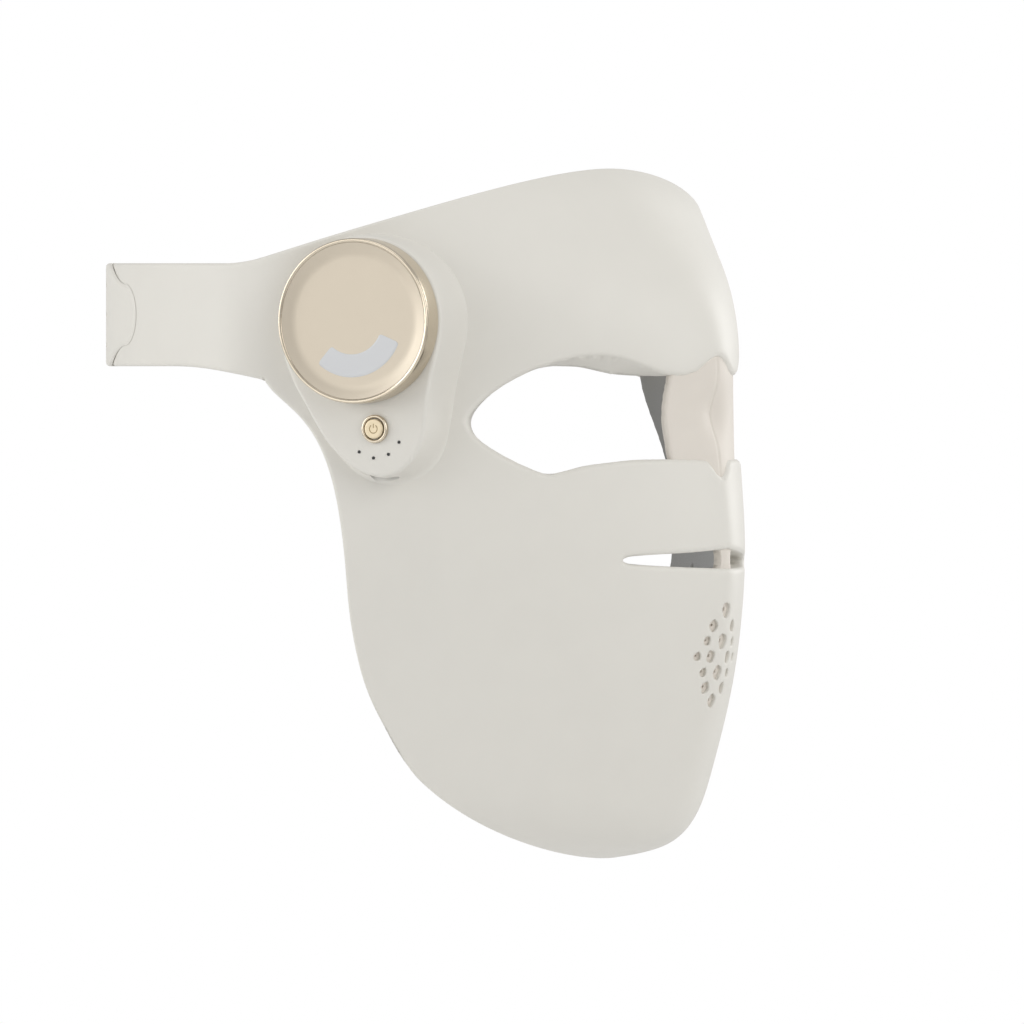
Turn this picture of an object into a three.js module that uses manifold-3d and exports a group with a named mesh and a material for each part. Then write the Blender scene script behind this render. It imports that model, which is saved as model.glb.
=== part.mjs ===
// Light therapy face mask: a silicone shell with a goggle opening and a mouth slit,
// worn on a band round the head.
// Millimetres. +X is the way the mask faces, +Y the wearer's left, +Z up. Z is zero at the eyes.
import * as THREE from "three";
import { mergeVertices } from "three/addons/utils/BufferGeometryUtils.js";
import Module from "manifold-3d";

const wasm = await Module();
wasm.setup();

// Driving sizes of the shell
const maskHeight = 204;
const frontReach = 100;
const templeHalfWidth = 90.4;

// Sections of the shell from the chin edge to the top edge.
// Each row: keel forward, keel height, edge forward, edge side, edge height, keel handle, cheek handle,
// turn of the cheek at the edge, drop of the section towards its edge.
// Forward places are shares of frontReach, heights of maskHeight, sides and handles of templeHalfWidth,
// and turns of a right angle.
const sectionShares = [
  [0.48, -0.6373, 0.19, 0.6416, -0.4873, 0.243, 0.166, 0.59, 0.28],
  [0.67, -0.6235, 0.17, 0.6803, -0.451, 0.254, 0.221, 0.56, 0.26],
  [0.78, -0.5784, 0.152, 0.7301, -0.4118, 0.28, 0.288, 0.51, 0.25],
  [0.85, -0.4951, 0.142, 0.7799, -0.3603, 0.26, 0.354, 0.44, 0.22],
  [0.943, -0.3578, 0.142, 0.8296, -0.2892, 0.225, 0.42, 0.37, 0.15],
  [0.986, -0.2034, 0.157, 0.8728, -0.2034, 0.155, 0.454, 0.29, 0.1],
  [0.953, -0.0833, 0.125, 0.896, -0.0833, 0.168, 0.465, 0.27, 0.1],
  [0.946, 0.0098, 0.03, 0.9204, 0.0025, 0.19, 0.465, 0.24, 0.15],
  [0.946, 0.0882, -0.08, 0.99, 0.0539, 0.215, 0.509, 0.2, 0.25],
  [0.89, 0.1706, -0.08, 0.9978, 0.1127, 0.25, 0.52, 0.17, 0.35],
  [0.79, 0.2304, -0.08, 1, 0.1618, 0.305, 0.498, 0.13, 0.45],
  [0.69, 0.2843, -0.08, 1, 0.1961, 0.321, 0.487, 0.11, 0.54],
  [0.605, 0.3324, -0.08, 1, 0.2157, 0.343, 0.465, 0.09, 0.6],
  [0.515, 0.3632, -0.08, 1, 0.2314, 0.376, 0.465, 0.07, 0.62],
];

// Walls, gaps and layers, counted inwards from the outer skin
const fitGap = 0.3;
const overrun = 2;
const skinWall = 2.2;
const rimDepth = 7;
const edgeDepth = 2.6;
const edgeTaperShare = 0.045;
const lipWidth = 3;
const boardTop = 2.9;
const boardWall = 0.6;
const lampHeight = 1.3;
const lampHalf = 1.6;
const lampSink = 0.2;
const linerTop = 5.6;
const linerWall = 1.2;
const ivoryTop = 1.5;
const ivoryBack = 8.8;
const screenTop = 2.6;
const screenWall = 1.2;
const screenHoleShare = 0.55;

// Goggle opening, mouth slit and mouth holes, in the front view
const goggleHalfWidthShare = 0.6405;
const goggleHalfWidth = templeHalfWidth * goggleHalfWidthShare;
const goggleRiseShare = 0.0882;
const goggleDropShare = 0.0833;
const goggleRise = maskHeight * goggleRiseShare;
const goggleDrop = maskHeight * goggleDropShare;
const slitHalfWidthShare = 0.3097;
const slitHalfWidth = templeHalfWidth * slitHalfWidthShare;
const slitHeightShare = -0.203;
const slitHeight = maskHeight * slitHeightShare;
const slitHalfGap = 2.9;
const slitTipShare = 0.4;
const cutStartShare = 0.3;
const tieHalfWidth = 3.2;
const tieWaistShare = 0.75;
const holeTopShare = -0.2775;
const holeTopHeight = maskHeight * holeTopShare;
const holeRowPitchShare = 0.0223;
const holeRowPitch = maskHeight * holeRowPitchShare;
const holeColumnPitch = 2.45;
const holeWidth = 3.5;
const holeTallness = 4.6;

// Control pod on the right temple
const podTurn = THREE.MathUtils.degToRad(15);
const housingRise = 6.75;
const podAlong = 3.9;
const podHeightShare = 0.1407;
const podHeight = maskHeight * podHeightShare;
const podRadius = 24.45;
const podProud = 8.2;
const podWall = 1.6;
const podLip = 3;
const podLipWall = 1.3;
const faceWall = 1.2;
const faceSeat = 5.5;
const faceDish = 0.5;
const faceRamp = 3.6;
const arcInner = 10.8;
const arcOuter = 17;
const arcStart = THREE.MathUtils.degToRad(-130);
const arcEnd = THREE.MathUtils.degToRad(-22);
const guideWall = 0.6;
const baseWidth = 51.8;
const baseTipRadius = 16.5;
const baseTipAlong = 7.9;
const baseTipDrop = 29.7;
const baseTipHeight = podHeight - baseTipDrop;
const baseWall = 2;
const baseBevel = 1.2;
const baseDepth = 26;
const wireHoleRadius = 7;
const plateTop = 2.9;
const plateWall = 1.4;
const plateInset = 1.5;
const plateReach = 42;
const boardRadius = 20;
const controlBoardWall = 0.8;
const batteryLength = 18;
const batteryWidth = 17;
const batteryThick = 4.6;
const batteryAlong = 16.5;

// Power button, its switch, and the indicator pipes
const buttonAlong = 7.6;
const bezelRadius = 4.2;
const bezelClearance = 3.25;
const buttonHeight = podHeight - podRadius - bezelClearance - bezelRadius;
const capRadius = 2.95;
const capProud = 1.6;
const bezelProud = 1.2;
const bezelRound = 0.3;
const buttonTravel = 0.6;
const flangeRadius = 3.9;
const flangeWall = 0.7;
const stemRadius = 1.5;
const stemReach = 3.4;
const switchHalf = 2.6;
const switchTall = 2;
const plungerRadius = 1.1;
const plungerTall = 0.6;
const smallBoardWall = 0.8;
const smallBoardHalfWidth = 4.4;
const smallBoardHalfLength = 4.6;
const pipeRadius = 0.5;
const pipeReach = 3;
const pipeRing = 8.6;
const pipeCount = 4;
const pipeFirst = THREE.MathUtils.degToRad(-128);
const pipeLast = THREE.MathUtils.degToRad(-27);

// Charging socket in the housing's lower wall
const socketAlong = 7.9;
const socketWidth = 9;
const socketTall = 3.2;
const socketLength = 6;
const socketWall = 0.4;
const socketDrop = 5.6;
const socketInset = 0.7;
const tongueWidth = 6.6;
const tongueTall = 0.8;
const tongueSet = 0.8;

// Housing screws
// Each row: the round it belongs to, its place along and its place up, as shares of that round's radius.
const screwPlaceShares = [
  ["wide", 0.66, 0.54],
  ["wide", 0.6, -0.5],
  ["wide", -0.36, 0.7],
  ["tip", 0.45, -0.45],
];
const screwSpots = screwPlaceShares.map(([round, alongShare, upShare]) =>
  round === "wide"
    ? { along: podAlong + podRadius * alongShare, height: podHeight + podRadius * upShare }
    : { along: baseTipAlong + baseTipRadius * alongShare, height: baseTipHeight + baseTipRadius * upShare }
);
const screwRadius = 0.9;
const screwHeadRadius = 1.5;
const screwHeadTall = 1;
const screwHeadSink = 0.2;
const seatDepth = 4.2;
const screwBite = 3;
const bossWall = 1.6;

// Band round the head
const bandHeight = 30.4;
const bandMiddleShare = 0.1495;
const bandMiddle = maskHeight * bandMiddleShare;
const bandWall = edgeDepth;
const bandRootDrop = 19.5;
const bandRootRise = 16.7;
const bandTaper = 28;
const bandCentre = -20;
const bandHalfLength = 92;
const seamPlace = sectionShares[sectionShares.length - 1][2] * frontReach;
const seamCosine = (seamPlace - bandCentre) / bandHalfLength;
const bandHalfWidth = templeHalfWidth / Math.sqrt(1 - seamCosine ** 2);
const tongueWall = 1.8;
const tongueTipRadius = 9;
const tongueTipLength = 26;
const tipShares = [0.9, 0.72, 0.5, 0.3, 0.14, 0.04];
const edgeChamferShare = 0.3;
const rightEndTurn = THREE.MathUtils.degToRad(197);
const tongueEndTurn = THREE.MathUtils.degToRad(242.3);
const liftStartTurn = THREE.MathUtils.degToRad(120);
const liftEndTurn = THREE.MathUtils.degToRad(152);
const slotRowPitch = 8.85;
const slotLength = 7;
const slotTall = 1.2;
const slotColumnTurns = [202, 211, 219.75].map(THREE.MathUtils.degToRad);
const padHalfHeight = 11;
const padWall = 0.7;
const padFromTurn = THREE.MathUtils.degToRad(168);
const padToTurn = THREE.MathUtils.degToRad(192);

// Mesh density and the search for places on the skin
const weldDistance = 1e-5;
const stepShare = 1e-3;
const searchStartShares = [0.6, -0.8];
const searchUpShares = [0.3, 0.99];
const searchAcrossShares = [-0.99, -0.3];
const searchSteps = 30;
const shellRows = 20;
const shellColumns = 20;
const linerRows = 16;
const linerColumns = 16;
const podSides = 40;
const roundSides = 20;
const smallSides = 8;
const keelCrowdShare = 1.35;

// Materials
function finish(color, roughness, metalness) {
  return new THREE.MeshStandardMaterial({ color, roughness, metalness });
}
const silicone = finish(0xd9d6cf, 0.55, 0);
const ivory = finish(0xd8d0c4, 0.5, 0);
const darkLens = finish(0x77756f, 0.35, 0);
const boardGreen = finish(0x2f5a42, 0.6, 0);
const gold = finish(0xd9c7a4, 0.3, 0.9);
const satinGold = finish(0xd8cbb6, 0.5, 0.5);
const palePlastic = finish(0xd5d5d5, 0.5, 0);
const steel = finish(0xb8b8b8, 0.35, 0.9);
const blackPlastic = finish(0x202020, 0.4, 0);
const battery = finish(0x9aa3ad, 0.4, 0.4);
const fabric = finish(0xd2cfc8, 0.95, 0);

// Solids and meshes
function toSolid(geometry) {
  const plain = geometry.index ? geometry.toNonIndexed() : geometry.clone();
  plain.deleteAttribute("normal");
  plain.deleteAttribute("uv");
  const merged = mergeVertices(plain, weldDistance);
  return new wasm.Manifold(
    new wasm.Mesh({
      numProp: 3,
      vertProperties: merged.attributes.position.array,
      triVerts: new Uint32Array(merged.index.array),
    })
  );
}

function toGeometry(solid) {
  const mesh = solid.getMesh();
  const geometry = new THREE.BufferGeometry();
  geometry.setAttribute("position", new THREE.BufferAttribute(mesh.vertProperties, 3));
  geometry.setIndex(new THREE.BufferAttribute(mesh.triVerts, 1));
  geometry.computeVertexNormals();
  return geometry;
}

const mask = new THREE.Group();

function addPiece(name, solid, material) {
  const mesh = new THREE.Mesh(toGeometry(solid), material);
  mesh.name = name;
  mask.add(mesh);
}

// The shell's skin. Each section is a curve from the keel to the edge, and the sections blend smoothly.
function blendSections(share) {
  const last = sectionShares.length - 1;
  const place = THREE.MathUtils.clamp(share, 0, 1) * last;
  const from = Math.min(Math.floor(place), last - 1);
  const f = place - from;
  const slope = (row, column) => {
    const ahead = Math.min(row, last - 1);
    const behind = Math.max(row - 1, 0);
    const rise = sectionShares[ahead + 1][column] - sectionShares[ahead][column];
    const fall = sectionShares[behind + 1][column] - sectionShares[behind][column];
    return rise * fall > 0 ? (2 * rise * fall) / (rise + fall) : 0;
  };
  return sectionShares[from].map((start, column) => {
    const end = sectionShares[from + 1][column];
    const startSlope = slope(from, column);
    const endSlope = slope(from + 1, column);
    return (
      (2 * f ** 3 - 3 * f ** 2 + 1) * start +
      (f ** 3 - 2 * f ** 2 + f) * startSlope +
      (3 * f ** 2 - 2 * f ** 3) * end +
      (f ** 3 - f ** 2) * endSlope
    );
  });
}

// A point of the skin: up runs 0 to 1 from chin edge to top edge,
// across runs -1 to 1 from right edge to left edge.
function skinPoint(up, across) {
  const row = blendSections(up);
  const keel = new THREE.Vector3(row[0] * frontReach, 0, row[1] * maskHeight);
  const edge = new THREE.Vector3(row[2] * frontReach, row[3] * templeHalfWidth, row[4] * maskHeight);
  const turn = (row[7] * Math.PI) / 2;
  const handle = row[6] * templeHalfWidth;
  const t = Math.abs(across);
  const b0 = (1 - t) ** 3;
  const b1 = 3 * t * (1 - t) ** 2;
  const b2 = 3 * t * t * (1 - t);
  const b3 = t ** 3;
  const x = (b0 + b1) * keel.x + b2 * (edge.x + handle * Math.cos(turn)) + b3 * edge.x;
  const y = b1 * row[5] * templeHalfWidth + b2 * (edge.y - handle * Math.sin(turn)) + b3 * edge.y;
  const z = keel.z + (edge.z - keel.z) * (b2 * row[8] + b3);
  return new THREE.Vector3(x, across < 0 ? -y : y, z);
}

// The same point moved inwards along the skin's normal by a depth.
function layerPoint(up, across, depth) {
  const point = skinPoint(up, across);
  const upA = Math.max(up - stepShare, 0);
  const upB = Math.min(up + stepShare, 1);
  const acrossA = Math.max(across - stepShare, -1);
  const acrossB = Math.min(across + stepShare, 1);
  const rise = skinPoint(upB, across).sub(skinPoint(upA, across));
  const run = skinPoint(up, acrossB).sub(skinPoint(up, acrossA));
  const normal = run.cross(rise).normalize();
  return point.addScaledVector(normal, -depth);
}

// A closed body between two grids of points of the same size; the first grid is its outer side.
function slabBetween(outer, inner) {
  const rows = outer.length;
  const columns = outer[0].length;
  const positions = [];
  outer.flat().forEach((p) => positions.push(p.x, p.y, p.z));
  inner.flat().forEach((p) => positions.push(p.x, p.y, p.z));
  const back = rows * columns;
  const triangles = [];
  const quad = (a, b, c, d) => triangles.push(a, b, c, a, c, d);
  const at = (i, j) => i * columns + j;
  for (let i = 0; i < rows - 1; i++) {
    for (let j = 0; j < columns - 1; j++) {
      quad(at(i, j), at(i, j + 1), at(i + 1, j + 1), at(i + 1, j));
      quad(back + at(i, j), back + at(i + 1, j), back + at(i + 1, j + 1), back + at(i, j + 1));
    }
  }
  for (let j = 0; j < columns - 1; j++) {
    const top = rows - 1;
    quad(at(0, j), back + at(0, j), back + at(0, j + 1), at(0, j + 1));
    quad(at(top, j), at(top, j + 1), back + at(top, j + 1), back + at(top, j));
  }
  for (let i = 0; i < rows - 1; i++) {
    const end = columns - 1;
    quad(at(i, 0), at(i + 1, 0), back + at(i + 1, 0), back + at(i, 0));
    quad(at(i, end), back + at(i, end), back + at(i + 1, end), at(i + 1, end));
  }
  const geometry = new THREE.BufferGeometry();
  geometry.setAttribute("position", new THREE.BufferAttribute(new Float32Array(positions), 3));
  geometry.setIndex(triangles);
  return toSolid(geometry);
}

function spread(from, to, count) {
  return Array.from({ length: count + 1 }, (unused, i) => from + ((to - from) * i) / count);
}

// Places across the skin, closer together near the keel where it bends most.
function spreadAcross(from, to, count) {
  const warp = (v) => Math.sign(v) * Math.abs(v) ** (1 / keelCrowdShare);
  const unwarp = (v) => Math.sign(v) * Math.abs(v) ** keelCrowdShare;
  return spread(warp(from), warp(to), count).map(unwarp);
}

// A layer of the shell between two depths over a patch of the skin.
function layer(depthFrom, depthTo, patch, rows, columns) {
  const ups = spread(patch[0], patch[1], rows);
  const acrosses = spreadAcross(patch[2], patch[3], columns);
  const grid = (depth) => ups.map((up) => acrosses.map((across) => layerPoint(up, across, depth)));
  return slabBetween(grid(depthFrom), grid(depthTo));
}

// The blank of the shell: as deep as its rims inside, and thinner at its outer edge.
function shellBlank() {
  const ups = spread(0, 1, shellRows);
  const acrosses = spreadAcross(-1, 1, shellColumns);
  const depthAt = (up, across) => {
    const run = Math.min(up, 1 - up, 1 - Math.abs(across)) / edgeTaperShare;
    return THREE.MathUtils.lerp(edgeDepth, rimDepth, THREE.MathUtils.clamp(run, 0, 1));
  };
  const outer = ups.map((up) => acrosses.map((across) => skinPoint(up, across)));
  const inner = ups.map((up) => acrosses.map((across) => layerPoint(up, across, depthAt(up, across))));
  return slabBetween(outer, inner);
}

// A front-view outline swept along X through the front of the shell.
function frontCut(shape) {
  const options = { depth: frontReach, bevelEnabled: false, curveSegments: 6 };
  const geometry = new THREE.ExtrudeGeometry(shape, options);
  const toFront = new THREE.Matrix4().makeBasis(
    new THREE.Vector3(0, 1, 0),
    new THREE.Vector3(0, 0, 1),
    new THREE.Vector3(1, 0, 0)
  );
  geometry.applyMatrix4(toFront);
  geometry.translate(frontReach * cutStartShare, 0, 0);
  return toSolid(geometry);
}

// Half of the goggle outline from the upper notch outwards, as shares of its half width and its rise or drop.
const goggleShares = [
  [0, 1.01],
  [0.054, 0.955],
  [0.102, 0.855],
  [0.145, 0.755],
  [0.203, 0.7],
  [0.27, 0.708],
  [0.336, 0.783],
  [0.419, 0.906],
  [0.5, 0.99],
  [0.56, 1.007],
  [0.629, 0.989],
  [0.709, 0.905],
  [0.798, 0.755],
  [0.87, 0.567],
  [0.934, 0.339],
  [0.977, 0.138],
  [1, -0.06],
  [0.984, -0.276],
  [0.946, -0.475],
  [0.883, -0.69],
  [0.816, -0.858],
  [0.75, -0.988],
  [0.672, -0.893],
  [0.502, -0.758],
  [0.271, -0.711],
  [0.102, -0.732],
  [0.071, -0.793],
  [0.033, -0.953],
  [0, -1.005],
];

function goggleShape(grow) {
  const half = goggleShares.map(([side, level]) => {
    const y = side * (goggleHalfWidth + grow);
    const z = level * ((level > 0 ? goggleRise : goggleDrop) + grow);
    return new THREE.Vector2(y, z);
  });
  const mirrored = half
    .slice(1, -1)
    .reverse()
    .map((p) => new THREE.Vector2(-p.x, p.y));
  return new THREE.Shape([...half, ...mirrored].reverse());
}

function slitShape(grow) {
  const gap = slitHalfGap + grow;
  const tip = slitHalfWidth + grow;
  const tipGap = gap * slitTipShare;
  const shape = new THREE.Shape();
  shape.moveTo(-tip + tipGap, slitHeight - tipGap);
  shape.lineTo(0, slitHeight - gap);
  shape.lineTo(tip - tipGap, slitHeight - tipGap);
  shape.absarc(tip - tipGap, slitHeight, tipGap, -Math.PI / 2, Math.PI / 2, false);
  shape.lineTo(0, slitHeight + gap);
  shape.lineTo(-tip + tipGap, slitHeight + tipGap);
  shape.absarc(-tip + tipGap, slitHeight, tipGap, Math.PI / 2, Math.PI * 1.5, false);
  return shape;
}

// The sixteen mouth holes: rows of a diamond, each with its places in column pitches and its size share.
const holeRowShares = [
  [[0, 1]],
  [
    [-1.45, 0.78],
    [1.45, 0.78],
  ],
  [
    [-2.2, 0.56],
    [0, 1],
    [2.2, 0.56],
  ],
  [
    [-2.95, 0.56],
    [-1.2, 0.8],
    [1.2, 0.8],
    [2.95, 0.56],
  ],
  [
    [-2.2, 0.56],
    [0, 1],
    [2.2, 0.56],
  ],
  [
    [-1.45, 0.78],
    [1.45, 0.78],
  ],
  [[0, 1]],
];

function mouthHoles(sizeShare) {
  return holeRowShares.flatMap((row, i) =>
    row.map(([place, size]) => {
      const shape = new THREE.Shape();
      const halfWidth = (holeWidth * size * sizeShare) / 2;
      const halfTall = (holeTallness * size * sizeShare) / 2;
      const y = place * holeColumnPitch;
      const z = holeTopHeight - i * holeRowPitch;
      shape.absellipse(y, z, halfWidth, halfTall, 0, Math.PI * 2, false);
      return frontCut(new THREE.Shape(shape.getPoints(4).slice(0, -1)));
    })
  );
}

// Patches of the skin as shares: from and to going up, then from and to going across.
const patchShares = {
  pocket: [0.035, 0.955, -0.955, 0.955],
  liner: [0.045, 0.945, -0.944, 0.944],
  temple: [0.36, 1, -1, -0.4],
  plate: [0.42, 0.93, -0.925, -0.5],
  bridge: [0.43, 0.65, -0.215, 0.215],
  bridgeFlange: [0.42, 0.66, -0.16, 0.16],
  tie: [0.34, 0.42, -0.16, 0.16],
  tieFlange: [0.355, 0.41, -0.095, 0.095],
  screen: [0.255, 0.358, -0.19, 0.19],
  foreheadBoard: [0.7, 0.92, -0.5, 0.5],
  rightCheekBoard: [0.15, 0.4, -0.9, -0.51],
  leftCheekBoard: [0.15, 0.4, 0.51, 0.9],
  chinBoard: [0.075, 0.24, -0.4, 0.4],
};

function cutAll(solid, cuts) {
  return cuts.reduce((left, cut) => left.subtract(cut), solid);
}

// Control pod frame: along runs forwards on the plateau, height is up, out leaves the head.
const podOut = new THREE.Vector3(Math.sin(podTurn), -Math.cos(podTurn), 0);
const podForward = new THREE.Vector3(Math.cos(podTurn), Math.sin(podTurn), 0);
const podUp = new THREE.Vector3(0, 0, 1);
const plateauReach = skinReach(podAlong, podHeight) + housingRise;
const podFrame = new THREE.Matrix4()
  .makeBasis(podForward, podUp, podOut)
  .setPosition(podOut.clone().multiplyScalar(plateauReach));

function inPod(geometry) {
  geometry.applyMatrix4(podFrame);
  return toSolid(geometry);
}

// Outside of the pod's ring, from its foot to the inner edge of its rolled rim:
// shares of the lip and of the height.
const rolledRimShares = [
  [0.27, 0],
  [0, 0.08],
  [0, 0.62],
  [0.12, 0.82],
  [0.4, 0.96],
  [0.7, 1],
  [1, 0.93],
];

// How far the skin reaches along the pod's axis at a place in the pod frame, found by steps along the skin.
function skinReach(along, height) {
  let [up, across] = searchStartShares;
  for (let i = 0; i < searchSteps; i++) {
    const p = skinPoint(up, across);
    const du = skinPoint(up + stepShare, across).sub(p).divideScalar(stepShare);
    const da = skinPoint(up, across + stepShare).sub(p).divideScalar(stepShare);
    const missAlong = along - p.dot(podForward);
    const missHeight = height - p.z;
    const det = du.dot(podForward) * da.z - da.dot(podForward) * du.z;
    up += (missAlong * da.z - missHeight * da.dot(podForward)) / det;
    across += (du.dot(podForward) * missHeight - du.z * missAlong) / det;
    up = THREE.MathUtils.clamp(up, ...searchUpShares);
    across = THREE.MathUtils.clamp(across, ...searchAcrossShares);
  }
  return skinPoint(up, across).dot(podOut);
}

// The skin's level at the same place, counted from the plateau
function skinLevel(along, height) {
  return skinReach(along, height) - plateauReach;
}

// Teardrop outline of the housing: a wide round under the pod and a small one under the button.
function teardrop(inset) {
  const wide = baseWidth / 2 - inset;
  const tip = baseTipRadius - inset;
  const dx = baseTipAlong - podAlong;
  const dz = baseTipHeight - podHeight;
  const reach = Math.hypot(dx, dz);
  const lean = Math.atan2(dz, dx);
  const open = Math.acos((wide - tip) / reach);
  const shape = new THREE.Shape();
  shape.absarc(podAlong, podHeight, wide, lean + open, lean - open + Math.PI * 2, false);
  shape.absarc(baseTipAlong, baseTipHeight, tip, lean - open, lean + open, false);
  return shape;
}

function teardropBody(inset, from, to, bevel) {
  const geometry = new THREE.ExtrudeGeometry(teardrop(inset + bevel), {
    depth: to - from - bevel,
    bevelEnabled: bevel > 0,
    bevelThickness: bevel,
    bevelSize: bevel,
    bevelSegments: 2,
    curveSegments: 12,
  });
  geometry.translate(0, 0, from);
  return inPod(geometry);
}

function podCylinder(along, height, radius, from, to, sides) {
  const geometry = new THREE.CylinderGeometry(radius, radius, to - from, sides);
  geometry.rotateX(Math.PI / 2);
  geometry.translate(along, height, (from + to) / 2);
  return inPod(geometry);
}

function podBox(along, height, width, tall, from, to) {
  const geometry = new THREE.BoxGeometry(width, tall, to - from);
  geometry.translate(along, height, (from + to) / 2);
  return inPod(geometry);
}

// A turned piece round an axis of the pod frame; profile points are radius and level.
function podLathe(along, height, profile, sides) {
  const points = profile.map(([radius, level]) => new THREE.Vector2(radius, level));
  const geometry = new THREE.LatheGeometry(points, sides);
  geometry.rotateX(Math.PI / 2);
  geometry.translate(along, height, 0);
  const solid = inPod(geometry);
  return solid.volume() < 0 ? inPod(flipped(geometry)) : solid;
}

function flipped(geometry) {
  const turned = geometry.clone();
  const order = turned.index.array;
  for (let i = 0; i < order.length; i += 3) {
    [order[i + 1], order[i + 2]] = [order[i + 2], order[i + 1]];
  }
  return turned;
}

// Housing on the temple, hollow and open towards the shell, with its screw bosses
const switchFrom = -stemReach - buttonTravel - plungerTall - switchTall;

function pipePlaces() {
  return spread(pipeFirst, pipeLast, pipeCount - 1).map((turn) => ({
    along: buttonAlong + pipeRing * Math.cos(turn),
    height: buttonHeight + pipeRing * Math.sin(turn),
  }));
}

function socketOutline(grow) {
  const half = socketWidth / 2 + grow;
  const round = socketTall / 2 + grow;
  const shape = new THREE.Shape();
  shape.absarc(half - round, 0, round, -Math.PI / 2, Math.PI / 2, false);
  shape.absarc(-half + round, 0, round, Math.PI / 2, Math.PI * 1.5, false);
  return shape;
}

const socketMouth = baseTipHeight - baseTipRadius + socketInset;

// A socket outline swept along the height of the pod frame, between two levels above its mouth.
function socketBody(grow, from, to, hole) {
  const shape = socketOutline(grow);
  if (hole) shape.holes.push(new THREE.Path(socketOutline(hole).getPoints(5)));
  const options = { depth: to - from, bevelEnabled: false, curveSegments: 5 };
  const geometry = new THREE.ExtrudeGeometry(shape, options);
  geometry.rotateX(-Math.PI / 2);
  geometry.translate(socketAlong, socketMouth + from, -socketDrop);
  return inPod(geometry);
}

function buildHousing() {
  const cover = teardropBody(0, -baseDepth, 0, baseBevel);
  const room = teardropBody(baseWall, -baseDepth - overrun, -baseWall, 0);
  const outside = layer(-baseDepth, -fitGap, patchShares.temple, 10, 10);
  const bosses = screwSpots.map((spot) =>
    podCylinder(spot.along, spot.height, screwRadius + bossWall, -baseDepth, -baseWall / 2, smallSides)
  );
  const hollow = cutAll(room, bosses);
  const holes = screwSpots.map((spot) => {
    const top = Math.min(skinLevel(spot.along, spot.height) + screwBite + fitGap, -baseWall / 2);
    return podCylinder(spot.along, spot.height, screwRadius + fitGap, -baseDepth - overrun, top, smallSides);
  });
  const under = -baseWall - overrun;
  const wireHole = podCylinder(podAlong, podHeight, wireHoleRadius, under, overrun, roundSides);
  const buttonHole = podCylinder(buttonAlong, buttonHeight, capRadius + fitGap, under, overrun, roundSides);
  const pipeHoles = pipePlaces().map((p) =>
    podCylinder(p.along, p.height, pipeRadius + fitGap, under, overrun, smallSides)
  );
  const port = socketBody(fitGap, -overrun - baseWall, socketLength + overrun, 0);
  return cutAll(cover.intersect(outside), [hollow, ...holes, wireHole, buttonHole, ...pipeHoles, port]);
}

function buildPod() {
  const lipRadius = podRadius - podLip;
  const wallRadius = podRadius - podWall;
  const lipLow = podProud - podLipWall;
  const rolled = rolledRimShares.map(([inShare, upShare]) => [
    podRadius - podLip * inShare,
    THREE.MathUtils.lerp(fitGap, podProud, upShare),
  ]);
  const profile = [
    [wallRadius, fitGap],
    ...rolled,
    [lipRadius, lipLow],
    [wallRadius, lipLow],
    [wallRadius, fitGap],
  ];
  addPiece("pod_ring", podLathe(podAlong, podHeight, profile, podSides), gold);

  const faceRadius = lipRadius - fitGap;
  const faceTop = faceSeat + faceWall;
  const face = podLathe(
    podAlong,
    podHeight,
    [
      [0, faceSeat],
      [faceRadius, faceSeat],
      [faceRadius, faceTop + faceDish],
      [faceRadius - faceWall, faceTop + faceDish],
      [faceRadius - faceRamp, faceTop],
      [0, faceTop],
    ],
    podSides
  );
  addPiece("pod_face", face.subtract(arcBody(fitGap, faceSeat - overrun, faceTop + overrun)), satinGold);
  addPiece("arc_window", arcBody(0, faceSeat, faceTop), palePlastic);
  const guideTop = faceSeat - fitGap;
  addPiece("arc_light_guide", arcBody(fitGap * 2, guideTop - guideWall, guideTop), palePlastic);

  const boardFrom = guideTop - guideWall - fitGap - controlBoardWall;
  const boardTo = boardFrom + controlBoardWall;
  const postRadius = wireHoleRadius - fitGap;
  const board = podCylinder(podAlong, podHeight, boardRadius, boardFrom, boardTo, podSides);
  const post = podCylinder(podAlong, podHeight, postRadius, -baseWall, boardFrom + fitGap, roundSides);
  addPiece("control_board", board.add(post), boardGreen);
}

// The arc in the pod's face, an annular sector between two levels.
function arcBody(grow, from, to) {
  const shape = new THREE.Shape();
  const lean = grow / arcOuter;
  shape.absarc(0, 0, arcOuter + grow, arcStart - lean, arcEnd + lean, false);
  shape.absarc(0, 0, arcInner - grow, arcEnd + lean, arcStart - lean, true);
  const options = { depth: to - from, bevelEnabled: false, curveSegments: 10 };
  const geometry = new THREE.ExtrudeGeometry(shape, options);
  geometry.translate(podAlong, podHeight, from);
  return inPod(geometry);
}

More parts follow.
